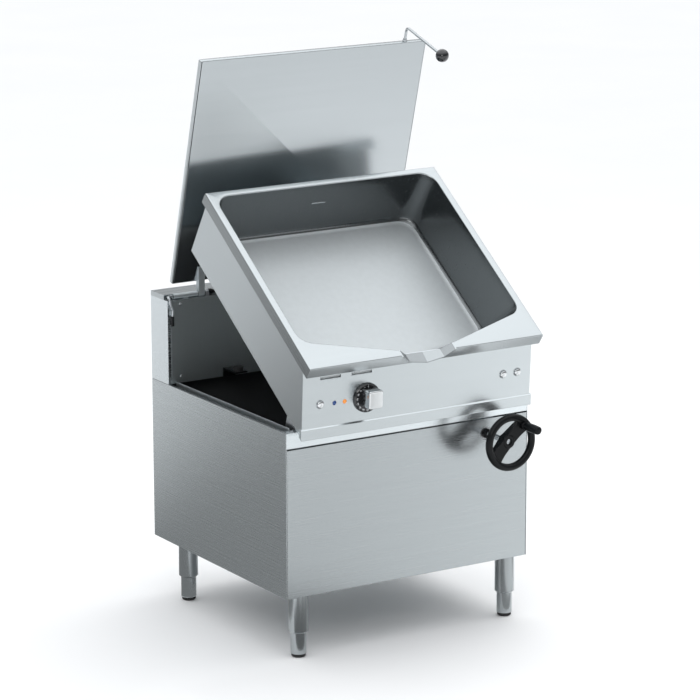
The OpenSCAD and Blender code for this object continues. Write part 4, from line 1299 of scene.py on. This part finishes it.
    def shell(self) -> bpy.types.Object:
        """Return the deck and well without the spout."""
        quarter = [math.radians(90 * k / self.edge_steps) for k in range(self.edge_steps + 1)]
        rings = self.wall(0.0, self.edge)
        for a in quarter[1:]:
            inset = self.draft_top - self.edge * (1 - math.cos(a))
            rings.append(self.ring(0.0, inset, -self.edge * (1 - math.sin(a))))
        for a in quarter:
            rings.append(self.rim(self.edge * (1 - math.sin(a)), -self.edge * (1 - math.cos(a))))
        rings += [self.rim(0.0, -self.lip + 0.8), self.rim(0.8, -self.lip), self.rim(self.sheet, -self.lip)]
        rings += [self.rim(self.sheet, -self.sheet), self.ring(self.edge, -2.4, -self.sheet)]
        rings += list(reversed(self.wall(self.sheet, self.edge + 4.0)))
        return solid("shell", rings)

    def hollow(self) -> bpy.types.Object:
        """Return the well's hollow as a solid that stands above the rim."""
        return solid("hollow", self.wall(0.0, self.edge) + [self.ring(0.0, self.draft_top, 40.0)])

    def slope(self) -> float:
        """Return how far the spout's flanks lean out for each step up."""
        return (self.spout_w - self.spout_floor_w) / 2 / self.spout_deep

    def half_section(self, grow: float, sag: float, vee: float, over: float) -> list[Flat]:
        """Return the right half of the spout's section from its top to its middle.

        Args:
            grow: Distance of its flank outside the inner one.
            sag: Distance of its floor under the inner one.
            vee: Depth of the floor's middle under its sides.
            over: Height of its top.

        Returns:
            Its points.
        """
        slope, foot, low = self.slope(), self.spout_floor_w / 2, self.spout_deep + sag
        wide = foot + grow - sag * slope
        lean_x, lean_z = slope / math.hypot(slope, 1), 1 / math.hypot(slope, 1)
        knee = [(wide + 3 * lean_x, -low + 3 * lean_z), (wide + 0.8 * lean_x, -low + 0.9 * lean_z - 0.12),
                (wide - 1.1, -low - 0.03), (wide - 3.0, -low - 3.0 / foot * vee)]
        return [(wide + (low + over) * slope, over)] + knee + [(0.0, -low - vee)]

    def trough(self, skin: float, over: float, y_front: float, y_back: float,
               filled: bool) -> bpy.types.Object:
        """Return the spout's trough, or the solid that it takes out of the deck.

        Args:
            skin: Thickness of its sheet.
            over: Height of its top.
            y_front: Its front end.
            y_back: Its back end.
            filled: Whether its inside is filled.

        Returns:
            The object.
        """
        flank = skin * math.hypot(self.slope(), 1.0)
        rings = []
        for share in (0.0, 0.1, 0.25, 0.5, 0.75, 1.0):
            y = y_front + (y_back - y_front) * share
            run = min(1.0, max(0.0, (y + self.spout_reach) / (self.spout_reach + self.front_rim)))
            vee = self.spout_vee_back + (self.spout_vee - self.spout_vee_back) * (1.0 - run)
            inner, outer = self.half_section(0.0, 0.0, vee, over), self.half_section(flank, skin, vee, over)
            section = outer + [(-x, z) for x, z in reversed(outer[:-1])]
            if not filled:
                section += [(-x, z) for x, z in inner] + list(reversed(inner[:-1]))
            bow = 0.0 if filled else self.spout_bow * max(0.0, 1.0 - share / self.bow_share)
            foot = self.spout_floor_w / 2
            rings.append([Vector((x, y + bow * min(1.0, abs(x) / foot), z)) for x, z in section])
        return solid("trough", rings)

    def build(self) -> None:
        """Cut the spout out of the shell, add its trough and finish the faces."""
        end = self.front_rim + 3.0
        shell, hollow = self.shell(), self.hollow()
        trough = self.trough(self.sheet, -0.02, -self.spout_reach, end + 14, False)
        gap = self.trough(self.sheet - 0.4, 8.0, -30.0, end + 12.0, True)
        carve(trough, hollow, "DIFFERENCE")
        carve(shell, gap, "DIFFERENCE")
        carve(shell, trough, "UNION")
        for thing in (hollow, trough, gap):
            bpy.data.objects.remove(thing)
        data = shell.data
        # Each area gets its own lighter or darker copy of the steel: painted light and shade
        areas = (DECK, WALLS, FLOOR, SPOUT, SPOUT_SHADE, SIDE_LIP)
        for finish in areas:
            data.materials.append(self.shop.finishes.get(finish))
        for face in data.polygons:
            face.material_index = areas.index(self.finish_of(face.center, face.normal))
        data.transform(LAYOUT.pan() @ Matrix.Scale(MM, 4))
        smoothed(data, 26.0)
        shell.name = "pan_skin"
        self.shop.keep(shell, "pan", "stainless", None, "pan_deck", "pan_well")
        self.mark()

    def finish_of(self, middle: Vector, normal: Vector) -> Finish:
        """Return the finish of a face.

        Args:
            middle: The face's middle.
            normal: The direction that it faces.

        Returns:
            The finish of the area that it lies in.
        """
        if middle.z > -0.6 or middle.z < -self.deep - 1.0 and normal.z < 0.5:
            return DECK
        if middle.z < -self.deep + 3.0 and normal.z > 0.6:
            return FLOOR
        if self.on_spout(middle):
            # The spout's flanks and the left half of its floor get the darker copy: painted shade
            return SPOUT_SHADE if abs(normal.x) > 0.3 or middle.x < 0.0 and normal.z > 0.5 else SPOUT
        if abs(middle.x) > self.rim_w / 2 - 0.5:
            return SIDE_LIP
        return DECK if self.on_lip(middle) else WALLS

    def on_lip(self, middle: Vector) -> bool:
        """Return whether a face belongs to the deck or its lip and not to the well's wall."""
        outside = abs(middle.x) > self.rim_w / 2 - 6 or middle.y < 14 or middle.y > self.rim_d - 6
        return outside or middle.z > -self.edge - 0.1

    def on_spout(self, middle: Vector) -> bool:
        """Return whether a face belongs to the spout's trough."""
        reach = self.spout_floor_w / 2 + (self.spout_deep + middle.z) * self.slope() + 1.5 * self.sheet
        return -31.0 < middle.z < -0.3 and abs(middle.x) < reach and middle.y < 45.0

    def mark(self) -> None:
        """Build the raised level mark on the well's rear wall."""
        slope = self.draft / (self.deep - self.cove)
        y = self.rim_d - self.rear_rim - self.draft_top - slope * self.mark_low
        outline = rounded(self.mark_w, self.mark_h, self.mark_h / 2 - 0.1, 5)
        form = Form()
        form.loft([[Vector((x * size, d + y, z * size - self.mark_low)) for x, z in outline]
                   for d, size in ((0.8, 1.0), (-0.6, 1.0), (-1.1, 0.86))])
        self.shop.keep(form.make("level_mark", LAYOUT.pan()), "pan", "stainless", DECK)


@dataclass
class Casing:
    """Casing with its vents, trunnions, heating and lever under the pan."""

    shop: Workshop
    vent_l: float = 66.0
    vent_h: float = 8.0
    vent_up: float = 166.5
    vent_back: float = 5.0
    vent_x: tuple[float, float] = (-288.0, -188.0)

    def dress(self) -> None:
        """Finish the CAD nodes."""
        dress = self.shop.dress
        dress(CASING, "casing_left", "casing_right", "casing_rear", "casing_floor")
        dress(FASCIA, "fascia")
        dress(ZINC, "trunnions", "tilt_lever", "heat_plate")
        dress(ELEMENT, "heating_elements")
        dress(MATT_BLACK, "thermostat", "switch_bodies")
        dress(BLUE_LENS, "pilot_lamp_blue")
        dress(ORANGE_LENS, "pilot_lamp_orange")

    def build(self) -> None:
        """Build a grey sheet behind each vent of the fascia, whose tone seen through the vent is painted
        shade.
        """
        half_x, half_y = self.vent_l / 2 + 4.0, self.vent_h / 2 + 3.0
        outline = rectangle(-half_x, half_x, -half_y, half_y)
        for side, x in zip(("left", "right"), self.vent_x):
            form = Form()
            form.stack([(outline, -self.vent_back - 1.0), (outline, -self.vent_back)])
            shade_sheet = form.make("vent_shade_sheet_" + side, LAYOUT.fascia(x, self.vent_up))
            self.shop.keep(shade_sheet, "pan", "stainless", VENT_SHADE)


@dataclass
class Knob:
    """Thermostat knob: black dial with white scale, black grip with a chrome front."""

    shop: Workshop
    x: float = -171.0
    up: float = 93.5
    dial: float = 84.0
    thick: float = 8.0
    gap: float = 0.5
    stem: float = 8.0
    stem_long: float = 30.0
    wide: float = 47.0
    high: float = 53.0
    out: float = 43.0
    cap: float = 24.0
    taper: float = 1.2
    corner: float = 6.0
    crown: float = 0.9
    crown_inset: float = 2.2
    lift: float = 5.5
    pitch: float = 22.5
    values: tuple[int, ...] = (0, *range(60, 300, 20))
    tick: tuple[float, float, float] = (36.6, 38.2, 0.55)
    tick_t: float = 0.12
    number_h: float = 5.4
    number_r: float = 33.2
    number_t: float = 0.12
    number_bold: float = 0.12

    def place(self) -> Matrix:
        """Return the knob's place."""
        return LAYOUT.fascia(self.x, self.up)

    def build(self) -> None:
        """Build the dial, its scale, the grip and its cap."""
        r, low, top = self.dial / 2, self.gap, self.gap + self.thick
        stem = self.stem / 2
        form = Form()
        form.lathe([(stem, low - self.stem_long), (stem, low), (r - 1.2, low), (r, low + 1.2),
                    (r - 0.6, top - 3.0), (r - 2.2, top - 1.2), (r - 4.0, top), (AXIS, top)], 120)
        dial = form.make("knob_dial_black", self.place(), 25.0)
        self.shop.keep(dial, "knob", "black_plastic", DIAL_BLACK, "knob_dial")
        self.ticks(top)
        self.numbers(top)
        self.grip(top)

    def ticks(self, top: float) -> None:
        """Build the printed ticks.

        Args:
            top: Height of the dial's face.
        """
        near, far, half = self.tick
        outline = rectangle(near, far, -half, half)
        form = Form()
        form.stack([(outline, top - 0.2), (outline, top + self.tick_t)])
        ticks = self.shop.round.bake(
            form.make("tick"), "dial_ticks", self.place(), Count=len(self.values), Start=math.radians(90.0),
            Step=math.radians(self.pitch), Material=self.shop.finishes.get(WHITE_INK))
        self.shop.keep(ticks, "knob", "black_plastic", None)

    def numbers(self, top: float) -> None:
        """Build the printed numbers, from nought at the top round to the left.

        Args:
            top: Height of the dial's face.
        """
        numbers = Form()
        for i, value in enumerate(self.values):
            text = bpy.data.curves.new("number", "FONT")
            text.body, text.size = str(value), self.number_h
            text.extrude, text.offset = self.number_t, self.number_bold
            text.align_x, text.align_y = "CENTER", "CENTER"
            thing = linked("number", text)
            mesh = settled(thing)
            outwards = Matrix.Translation((self.number_r, 0, top)) @ turn(-90.0)
            numbers.join(mesh, turn(90.0 + self.pitch * i) @ outwards)
            bpy.data.objects.remove(thing)
            bpy.data.meshes.remove(mesh)
        self.shop.keep(numbers.make("dial_numbers", self.place()), "knob", "black_plastic", WHITE_INK)

    def outline(self, inset: float, steps: int = 6) -> list[Flat]:
        """Return the grip's outline drawn in by a distance."""
        return rounded(self.wide - 2 * inset, self.high - 2 * inset, self.corner, steps)

    def grip(self, top: float) -> None:
        """Build the grip's black block and its chrome cap, nearer to the dial's top.

        Args:
            top: Height of the dial's face.
        """
        split, end = top + self.out - self.cap, top + self.out
        raised = self.place() @ shift(0, self.lift, 0)

        def inset(z: float) -> float:
            """Return how far the tapered grip is drawn in at a height."""
            return self.taper * (z - top) / self.out

        block = Form()
        block.stack([(self.outline(d), z) for z, d in (
            (top - 0.5, 0.8), (top, 0.8), (split - 1.2, inset(split) + 0.8),
            (split - 1.2, inset(split) + 2.0), (split + 1.0, inset(split) + 2.0))])
        piece = block.make("knob_grip_block", raised, 35.0)
        self.shop.keep(piece, "knob", "black_plastic", DIAL_BLACK, "knob_grip")
        stages = [(split, 1.4), (split, 0.5), (split + 0.5, 0.1), (split + 1.2, 0.0), (end - 4.0, 0.0),
                  (end - 2.6, 0.35), (end - 1.5, 1.1), (end - self.crown, self.crown_inset)]
        rings = [[Vector((x, y, z)) for x, y in self.outline(inset(z) + d, 8)] for z, d in stages]
        edge = inset(end) + self.crown_inset
        wide, high = self.wide - 2 * edge, self.high - 2 * edge
        for shrink in (0.93, 0.8, 0.6, 0.4, 0.2, 0.02):
            bulge = 1 - shrink ** 6
            outline = rounded(wide * shrink, high * shrink, self.corner * shrink, 8)
            rings.append([Vector((x, y, end - self.crown + self.crown * (1 - (2 * x / wide) ** 2) * bulge))
                          for x, y in outline])
        cap = Form()
        cap.loft(rings)
        piece = cap.make("knob_cap_chrome", raised, 40.0)
        # The cap's faces that look left or right get the darker chrome: painted shade
        for finish in (CHROME, CHROME_SHADED_SIDES):
            piece.data.materials.append(self.shop.finishes.get(finish))
        across = raised.to_3x3() @ Vector((1, 0, 0))
        for face in piece.data.polygons:
            face.material_index = int(abs(face.normal.dot(across)) > 0.8)
        self.shop.keep(piece, "knob", "chrome", None)


@dataclass
class Button:
    """Domed chrome push button with its stem, and the ring round it."""

    shop: Workshop
    body: str
    node: str
    x: float
    up: float
    across: float = 20.0
    out: float = 7.0
    dome: float = 3.4
    deep: float = 8.0
    stem: float = 8.0
    stem_long: float = 12.0

    def build(self) -> None:
        """Build the button and the ring round it."""
        r, base = self.across / 2, self.out - self.dome
        profile = [(self.stem / 2, -self.deep - self.stem_long), (self.stem / 2, -self.deep),
                   (r - 0.4, -self.deep), (r, -self.deep + 0.6), (r, base)]
        profile += [(r * c, base + self.dome * s) for c, s in arc(1.0, 0, 88, 10)[1:]]
        place = LAYOUT.fascia(self.x, self.up)
        form = Form()
        form.lathe(profile)
        dome = form.make(self.body + "_dome", place, 50.0)
        self.shop.keep(dome, self.body, "chrome", CHROME, self.node)
        ring = Form()
        ring.wind([(r + 0.5, -0.5), (r + 2.6, -0.5), (r + 2.6, 0.5), (r + 2.0, 1.2), (r + 1.0, 1.3),
                   (r + 0.5, 0.9)])
        self.shop.keep(ring.make(self.body + "_ring", place, 40.0), "pan", "chrome", BRIGHT_ROD)


@dataclass
class Lid:
    """Lid with its hinge arms, shaft, bent handle rod and ball."""

    shop: Workshop
    handle_x: float = 304.0
    long: float = 690.0
    thick: float = 16.0
    rod: float = 4.0
    bend: float = 13.0
    rise: float = 30.0
    droop: float = 92.5
    reach: float = 179.0
    ball: float = 19.0
    neck: float = 7.5
    ferrule: tuple[float, float, float] = (7.0, 5.5, 9.0)
    wide: float = 746.0
    sheet: float = 1.5
    corner: float = 4.0
    rear_corner: float = 0.6
    fold: float = 1.6
    groove: float = 0.3
    left_groove: float = 2.4

    def handle_points(self) -> list[Vector]:
        """Return the rod's start, its corner and its end in the lid's frame."""
        angle = math.radians(self.droop)
        along = Vector((0, math.cos(angle), math.sin(angle)))
        start = Vector((self.handle_x, self.long, -self.thick / 2))
        corner = start + Vector((0, self.rise + self.bend * math.tan(angle / 2), 0))
        end = start + Vector((0, self.rise + self.bend * math.sin(angle), self.bend * (1 - math.cos(angle))))
        return [start, corner, end + along * self.reach]

    def build(self) -> None:
        """Build the tray, the handle and its ball."""
        self.tray()
        place = LAYOUT.lid()
        start, corner, end = self.handle_points()
        rod = self.shop.rod.bake(
            polyline([start, corner, end]), "lid_handle_rod", place, 40.0, Radius=self.rod * MM,
            Bend=self.bend * MM, Material=self.shop.finishes.get(BRIGHT_ROD))
        self.shop.keep(rod, "lid", "chrome", None, "lid_handle")
        low, high, tall = self.ferrule
        form = Form()
        form.lathe([(low - 1, -0.5), (low, 0.0), (low, 2.5), (low - 0.8, 3.5), (high, 4.2), (high, tall - 1),
                    (high - 0.8, tall), (self.rod - 0.3, tall)], 48, Matrix.Translation(start) @ lean(-90.0))
        self.shop.keep(form.make("lid_handle_ferrule", place, 40.0), "lid", "chrome", BRIGHT_ROD)
        neck, under = self.neck, -self.ball - 2.5
        profile = [(self.rod - 0.4, under), (neck - 1.5, under), (neck - 0.6, under + 0.9),
                   (neck, under + 3.5)]
        profile += arc(self.ball, -math.degrees(math.acos(neck / self.ball)), 89.5, 22)
        ball = Form()
        ball.lathe(profile, 64, Matrix.Translation(end) @ aimed((end - corner).normalized(), "Z"))
        piece = ball.make("lid_ball_black", place, 60.0)
        self.shop.keep(piece, "lid", "black_plastic", BALL_BLACK, "lid_ball")

    def outline(self, inset: float, left: float = 0.0) -> list[Flat]:
        """Return the lid's outline.

        Args:
            inset: Distance that it is drawn in.
            left: Distance that its left side is drawn in besides.

        Returns:
            Its points.
        """
        points: list[Flat] = []
        for sx, free, start in ((1, True, 0), (-1, True, 90), (-1, False, 180), (1, False, 270)):
            radius = max(self.corner - inset, self.rear_corner) if free else self.rear_corner
            x = sx * (self.wide / 2 - inset - radius - (left if sx < 0 else 0.0))
            y = self.long - inset - radius if free else inset + radius
            points += arc(radius, start, start + 90, 6, (x, y))
        return points

    def tray(self) -> None:
        """Build the folded outer tray and the inner sheet that closes it."""
        thick, sheet, e = self.thick, self.sheet, self.fold
        tray = Form()
        tray.stack([(self.outline(inset), z) for inset, z in (
            (e, -thick), (0.45 * e, -thick + 0.2 * e), (0.0, -thick + e), (0.0, -0.6), (0.25, -0.15),
            (0.6, 0.0), (sheet, 0.0), (sheet, -thick + sheet))])
        self.shop.keep(tray.make("lid_tray", LAYOUT.lid(), 30.0), "lid", "stainless", LID_OUT, "lid_skin")
        gap = sheet + self.groove
        inner = Form()
        inner.stack([(self.outline(inset, self.left_groove), z) for inset, z in (
            (gap, -sheet), (gap, -0.8), (gap + 0.2, -0.35), (gap + 0.7, -0.15))])
        piece = inner.make("lid_inner_sheet", LAYOUT.lid(), 30.0)
        self.shop.keep(piece, "lid", "stainless", LID_IN, "lid_inner")

    def dress(self) -> None:
        """Finish the CAD nodes."""
        self.shop.dress(ARMS, "lid_hinge_arms")
        self.shop.dress(BLACK, "lid_hinge_shaft")


@dataclass
class Handwheel:
    """Black handwheel with a dished web, its hub nut and revolving grip."""

    shop: Workshop
    across: float = 164.0
    rim: float = 21.0
    web_angle: float = 44.0
    web_w: float = 40.0
    web_back: float = -13.0
    web_thick: float = 7.0
    web_steps: int = 12
    hub: float = 38.0
    hub_front: float = -4.0
    hub_back: float = -34.0
    cup: float = 17.0
    cup_deep: float = 7.0
    flank: float = 20.0
    flank_t: float = 5.0
    spindle: float = 16.0
    grip_r: float = 62.0
    grip_d: float = 24.0
    boss_low: float = -10.0
    boss_top: float = 11.0
    axle: float = 8.0
    reach: float = 74.0

    def at_grip(self) -> Matrix:
        """Return the grip's place on the wheel."""
        return turn(self.web_angle) @ Matrix.Translation((self.grip_r, 0, 0)) @ turn(-self.web_angle)

    def build(self) -> None:
        """Build the wheel, the hub's nut and the grip."""
        place = LAYOUT.wheel()
        floor = self.hub_front - self.cup_deep
        form = Form()
        self.ring_and_hub(form, floor)
        self.web(form)
        self.boss(form)
        moulding = form.make("handwheel_moulding", place, 38.0)
        self.shop.keep(moulding, "wheel", "black_plastic", BLACK, "handwheel")
        nut = Form()
        nut.lathe([(8.2, floor - 0.2), (8.2, floor + 0.6), (7.6, floor + 1.2), (3.4, floor + 1.4),
                   (2.8, floor + 0.6), (AXIS, floor + 0.4)], 48)
        self.shop.keep(nut.make("hub_nut", place, 40.0), "wheel", "chrome", BRIGHT_ROD)
        self.grip(place)

    def ring_and_hub(self, form: Form, floor: float) -> None:
        """Add the ring and the hub to the moulding.

        Args:
            form: The moulding.
            floor: Height of the floor of the hub's cup.
        """
        r = self.rim / 2
        form.wind(arc(r, 0, 360, 32, (self.across / 2 - r, 0.0))[:-1], 128)
        bore, hub, cup, front = self.spindle / 2 + 0.05, self.hub / 2, self.cup / 2, self.hub_front
        form.wind([(bore, self.hub_back), (hub - 1.5, self.hub_back), (hub, self.hub_back + 1.5),
                   (hub, front - 2.0), (hub - 2.0, front), (cup + 1.0, front), (cup, front - 1.0),
                   (cup - 0.8, floor), (bore, floor)], 72)

    def web(self, form: Form) -> None:
        """Add the web, with a flank along each side that fades towards the ring.

        Args:
            form: The moulding.
        """
        span = self.across / 2 - self.rim / 2 - 2.0
        sections = []
        for k in range(-self.web_steps, self.web_steps + 1):
            share = k / self.web_steps
            half = self.web_w / 2 - 2.5 + 6.5 * abs(share) ** 3
            low = self.web_back + 6.0 * abs(share) ** 4
            top, back = low + self.web_thick, low - self.flank * (1.0 - abs(share)) ** 0.7 - 0.5
            inner = half - self.flank_t
            outline = [(half - 1.5, top), (1.5 - half, top), (-half, top - 1.5), (-half, back),
                       (-inner, back), (-inner, low), (inner, low), (inner, back), (half, back),
                       (half, top - 1.5)]
            sections.append([Vector((share * span, y, z)) for y, z in outline])
        plate = solid("web", sections, turn(self.web_angle))
        drill = Form()
        drill.lathe([(self.hub / 2 - 2.0, -60.0), (self.hub / 2 - 2.0, 20.0)], 72)
        tool = drill.make("drill", scale=1.0)
        carve(plate, tool, "DIFFERENCE")
        form.join(plate.data)
        for thing in (plate, tool):
            bpy.data.objects.remove(thing)

    def boss(self, form: Form) -> None:
        """Add the boss that holds the grip's axle.

        Args:
            form: The moulding.
        """
        bore, r, low, top = self.axle / 2 + 0.2, self.grip_d / 2, self.boss_low, self.boss_top
        form.lathe([(bore, low), (r - 1, low), (r, low + 1), (r, top - 1.5), (r - 1.5, top), (bore, top)], 48,
                   self.at_grip())

    def grip(self, place: Matrix) -> None:
        """Build the revolving grip.

        Args:
            place: The wheel's place.
        """
        low, top, r = self.boss_top + 0.3, self.reach, self.grip_d / 2
        profile = [(self.axle / 2 + 0.1, low), (r - 2.2, low), (r - 1.2, low + 1.0)]
        for k in range(11):
            share = k / 10
            swell = 2.0 * math.sin(math.radians(20 + 130 * share)) - 0.3
            profile.append((r - 1.0 + swell, low + 2 + (top - low - 8) * share))
        profile += [(r - 0.6, top - 3.2), (r - 2.4, top - 1.0), (r - 5.0, top), (AXIS, top)]
        form = Form()
        form.lathe(profile, 56, self.at_grip())
        self.shop.keep(form.make("grip_moulding", place, 40.0), "wheel_grip", "black_plastic", BLACK, "grip")

    def dress(self) -> None:
        """Finish the CAD nodes."""
        self.shop.dress(ZINC, "grip_axle")
        self.shop.dress(BRONZE, "tilt_nut")


@dataclass
class LeadScrew:
    """Spindle and lead screw, with the ridge of its thread and its collar on the front panel."""

    shop: Workshop
    spindle: float = 8.0
    screw: float = 10.0
    ridge: float = 1.5
    front: float = -107.0
    shoulder: float = 14.0
    shoulder_start: float = 31.3
    screw_start: float = 37.3
    screw_end: float = 347.7
    end: float = 358.0
    thread_start: float = 45.0
    thread_end: float = 347.0
    pitch: float = 10.0
    collar: float = 28.0
    collar_out: float = 10.0

    def build(self) -> None:
        """Build the turned core and the collar, and wind the ridge of the thread."""
        place = LAYOUT.cabinet() @ shift(LAYOUT.wheel_x, 0, LAYOUT.screw_z) @ lean(-90.0)
        s, core = self.spindle, self.screw - self.ridge
        form = Form()
        form.lathe([(AXIS, self.front), (s - 1, self.front), (s, self.front + 1), (s, self.shoulder_start),
                    (self.shoulder, self.shoulder_start), (self.shoulder, self.screw_start),
                    (core, self.screw_start), (core, self.screw_end), (s, self.screw_end), (s, self.end - 1),
                    (s - 1, self.end), (AXIS, self.end)], 48)
        self.shop.keep(form.make("lead_screw_core", place, 30.0), "wheel", "zinc_steel", ZINC, "tilt_spindle")
        bore, r, out = self.spindle + 0.15, self.collar / 2, self.collar_out
        collar = Form()
        collar.wind([(bore, 1.0), (r, 1.0), (r, 1.5 - out), (r - 0.6, 0.6 - out), (r - 1.8, -out),
                     (bore + 1.0, -out), (bore, 0.8 - out)])
        piece = collar.make("spindle_collar", place, 35.0)
        self.shop.keep(piece, "cabinet", "black_plastic", BLACK, "spindle_boss")
        host = Form()
        host.lathe([(1.0, 0.0), (1.0, 1.0)], 6)
        long = self.thread_end - self.thread_start
        ridge = self.shop.thread.bake(
            host.make("seed"), "lead_screw_thread", place @ shift(0, 0, self.thread_start), 30.0,
            Turns=long / self.pitch, Length=long * MM, Radius=(core - 0.1) * MM, Ridge=self.ridge * MM,
            Material=self.shop.finishes.get(ZINC))
        self.shop.keep(ridge, "wheel", "zinc_steel", None)


@dataclass(frozen=True)
class Camera:
    """The photograph's camera, in metres and degrees."""

    at: Point = (-4.9593848, -7.8747531, 2.9964259)
    azimuth: float = 32.1032
    down: float = 13.4129
    roll: float = -0.1327
    lens: float = 173.635

    def build(self) -> None:
        """Put the camera in the scene."""
        a, e = math.radians(self.azimuth), math.radians(self.down)
        ahead = Vector((math.sin(a) * math.cos(e), math.cos(a) * math.cos(e), -math.sin(e)))
        data = bpy.data.cameras.new("camera")
        data.sensor_fit, data.sensor_width, data.lens = "HORIZONTAL", 36.0, self.lens
        data.clip_end = 200.0
        camera = linked("camera", data)
        camera.matrix_world = Matrix.Translation(self.at) @ aimed(ahead) @ turn(self.roll)
        bpy.context.scene.camera = camera


@dataclass(frozen=True)
class Card:
    """A studio card that only reflections see.

    Its brightness runs from low to high between two distances from its middle, start and end.
    """

    name: str
    middle: Point
    size: Flat
    spin: float
    low: float
    high: float
    start: float
    end: float
    light: Colour = (0.97, 0.99, 1.0)

    def build(self) -> None:
        """Lay the card."""
        card = linked(self.name, flat_mesh(self.name, self.size[0] / 2, self.size[1] / 2))
        card.matrix_world = Matrix.Translation(self.middle) @ turn(self.spin)
        graph = Graph(self.name)
        run = graph.feed("ShaderNodeMapRange", "Result", {
            "Value": graph.feed("ShaderNodeSeparateXYZ", "Y", {"Vector": graph.place()}),
            "From Min": self.start, "From Max": self.end, "To Min": self.low, "To Max": self.high})
        glow = graph.feed("ShaderNodeEmission", "Emission", {"Color": (*self.light, 1.0), "Strength": run})
        graph.add("ShaderNodeOutputMaterial", {"Surface": glow})
        card.data.materials.append(graph.material)
        for ray in ("camera", "diffuse", "transmission", "volume_scatter", "shadow"):
            setattr(card, "visible_" + ray, False)


@dataclass(frozen=True)
class SoftBox:
    """A soft box, in metres and watts."""

    name: str
    at: Point
    aim: Point
    wide: float
    tall: float
    power: float
    reflected: bool
    light: Colour = (1.0, 0.99, 0.98)

    def build(self) -> None:
        """Hang the soft box."""
        data = bpy.data.lights.new(self.name, "AREA")
        data.shape, data.size, data.size_y, data.energy = "RECTANGLE", self.wide, self.tall, self.power
        data.color = self.light
        lamp = linked(self.name, data)
        lamp.matrix_world = Matrix.Translation(self.at) @ aimed(Vector(self.aim) - Vector(self.at))
        lamp.visible_glossy = self.reflected


@dataclass
class Studio:
    """Pale floor, light tent, soft boxes and the camera."""

    horizon: float = 0.25
    zenith: float = 1.55
    up: Point = (0.0, 0.14, 1.0)
    rise: Flat = (0.28, 0.80)
    sky: Colour = (0.97, 0.985, 1.0)
    half_floor: float = 60.0
    floor_drop: float = 0.0003
    floor_mottle: float = 0.8
    floor_dark: Colour = (0.88, 0.885, 0.89)
    floor_light: Colour = (0.90, 0.90, 0.905)
    floor_rough: float = 0.75
    cards: tuple[Card, ...] = field(default_factory=lambda: (
        Card("card_left", (-2.53, 2.247, 0.012), (6.0, 1.95), -48.2, 0.33, 1.0, 0.525, 0.925),
        Card("card_front", (0.98, -1.85, 0.010), (3.0, 1.15), -57.9, 0.78, 1.08, -0.35, 0.45),
        Card("card_lip", (0.20, -0.56, 0.008), (0.5, 1.9), -90.0, 0.20, 0.60, -0.50, 0.65),
    ))
    boxes: tuple[SoftBox, ...] = (
        SoftBox("overhead", (1.4, 0.4, 3.6), (0.1, 0.0, 0.6), 3.0, 3.0, 45.0, False),
        SoftBox("front_fill", (-2.6, -3.6, 2.8), (0.0, 0.0, 0.6), 1.6, 1.2, 22.0, True),
    )

    def build(self) -> None:
        """Build the studio."""
        bpy.context.scene.view_settings.view_transform = "Standard"
        self.floor()
        self.tent()
        for thing in (*self.boxes, *self.cards, Camera()):
            thing.build()

    def floor(self) -> None:
        """Lay the floor."""
        data = flat_mesh("studio_floor", self.half_floor, self.half_floor)
        data.transform(Matrix.Translation((0, 0, -self.floor_drop)))
        graph = Graph("studio_floor")
        mottle = graph.pattern((self.floor_mottle,) * 3, detail=3.0)
        pale = graph.tones(mottle, self.floor_dark, self.floor_light)
        graph.surface(Base_Color=pale, Roughness=self.floor_rough)
        data.materials.append(graph.material)
        linked("studio_floor", data)

    def tent(self) -> None:
        """Light the scene from all round, brighter from above and a little from behind."""
        world = bpy.data.worlds.new("tent")
        bpy.context.scene.world = world
        world.use_nodes = True
        sky = NodeTree(world.node_tree)
        sky.tree.nodes.clear()
        place = sky.feed("ShaderNodeTexCoord", "Generated")
        high = sky.feed("ShaderNodeVectorMath", "Value", {0: place, 1: self.up}, operation="DOT_PRODUCT")
        run = sky.feed("ShaderNodeMapRange", "Result", {
            "Value": high, "From Min": self.rise[0], "From Max": self.rise[1], "To Min": self.horizon,
            "To Max": self.zenith})
        glow = sky.feed("ShaderNodeBackground", "Background", {"Color": (*self.sky, 1.0), "Strength": run})
        sky.add("ShaderNodeOutputWorld", {"Surface": glow})


def main() -> None:
    """Load the frame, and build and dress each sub-assembly."""
    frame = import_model()
    shop = Workshop(frame)
    Studio().build()
    cabinet, casing, lid, wheel = Cabinet(shop), Casing(shop), Lid(shop), Handwheel(shop)
    buttons = [
        Button(shop, "left_button", "button_left", -319.6, 93.5),
        Button(shop, "inner_button", "button_inner", 282.0, 98.5),
        Button(shop, "outer_button", "button_outer", 330.0, 98.5),
    ]
    for part in (cabinet, TorsionBar(shop), PanSkin(shop), casing, Knob(shop), *buttons, lid, wheel,
                 LeadScrew(shop)):
        part.build()
    for part in (cabinet, casing, lid, wheel):
        part.dress()
    for name in sorted(set(shop.nodes) - shop.dressed):
        LOG.warning("node %s has no finish", name)


if __name__ == "__main__":
    logging.basicConfig(level=logging.INFO, format="%(message)s")
    main()
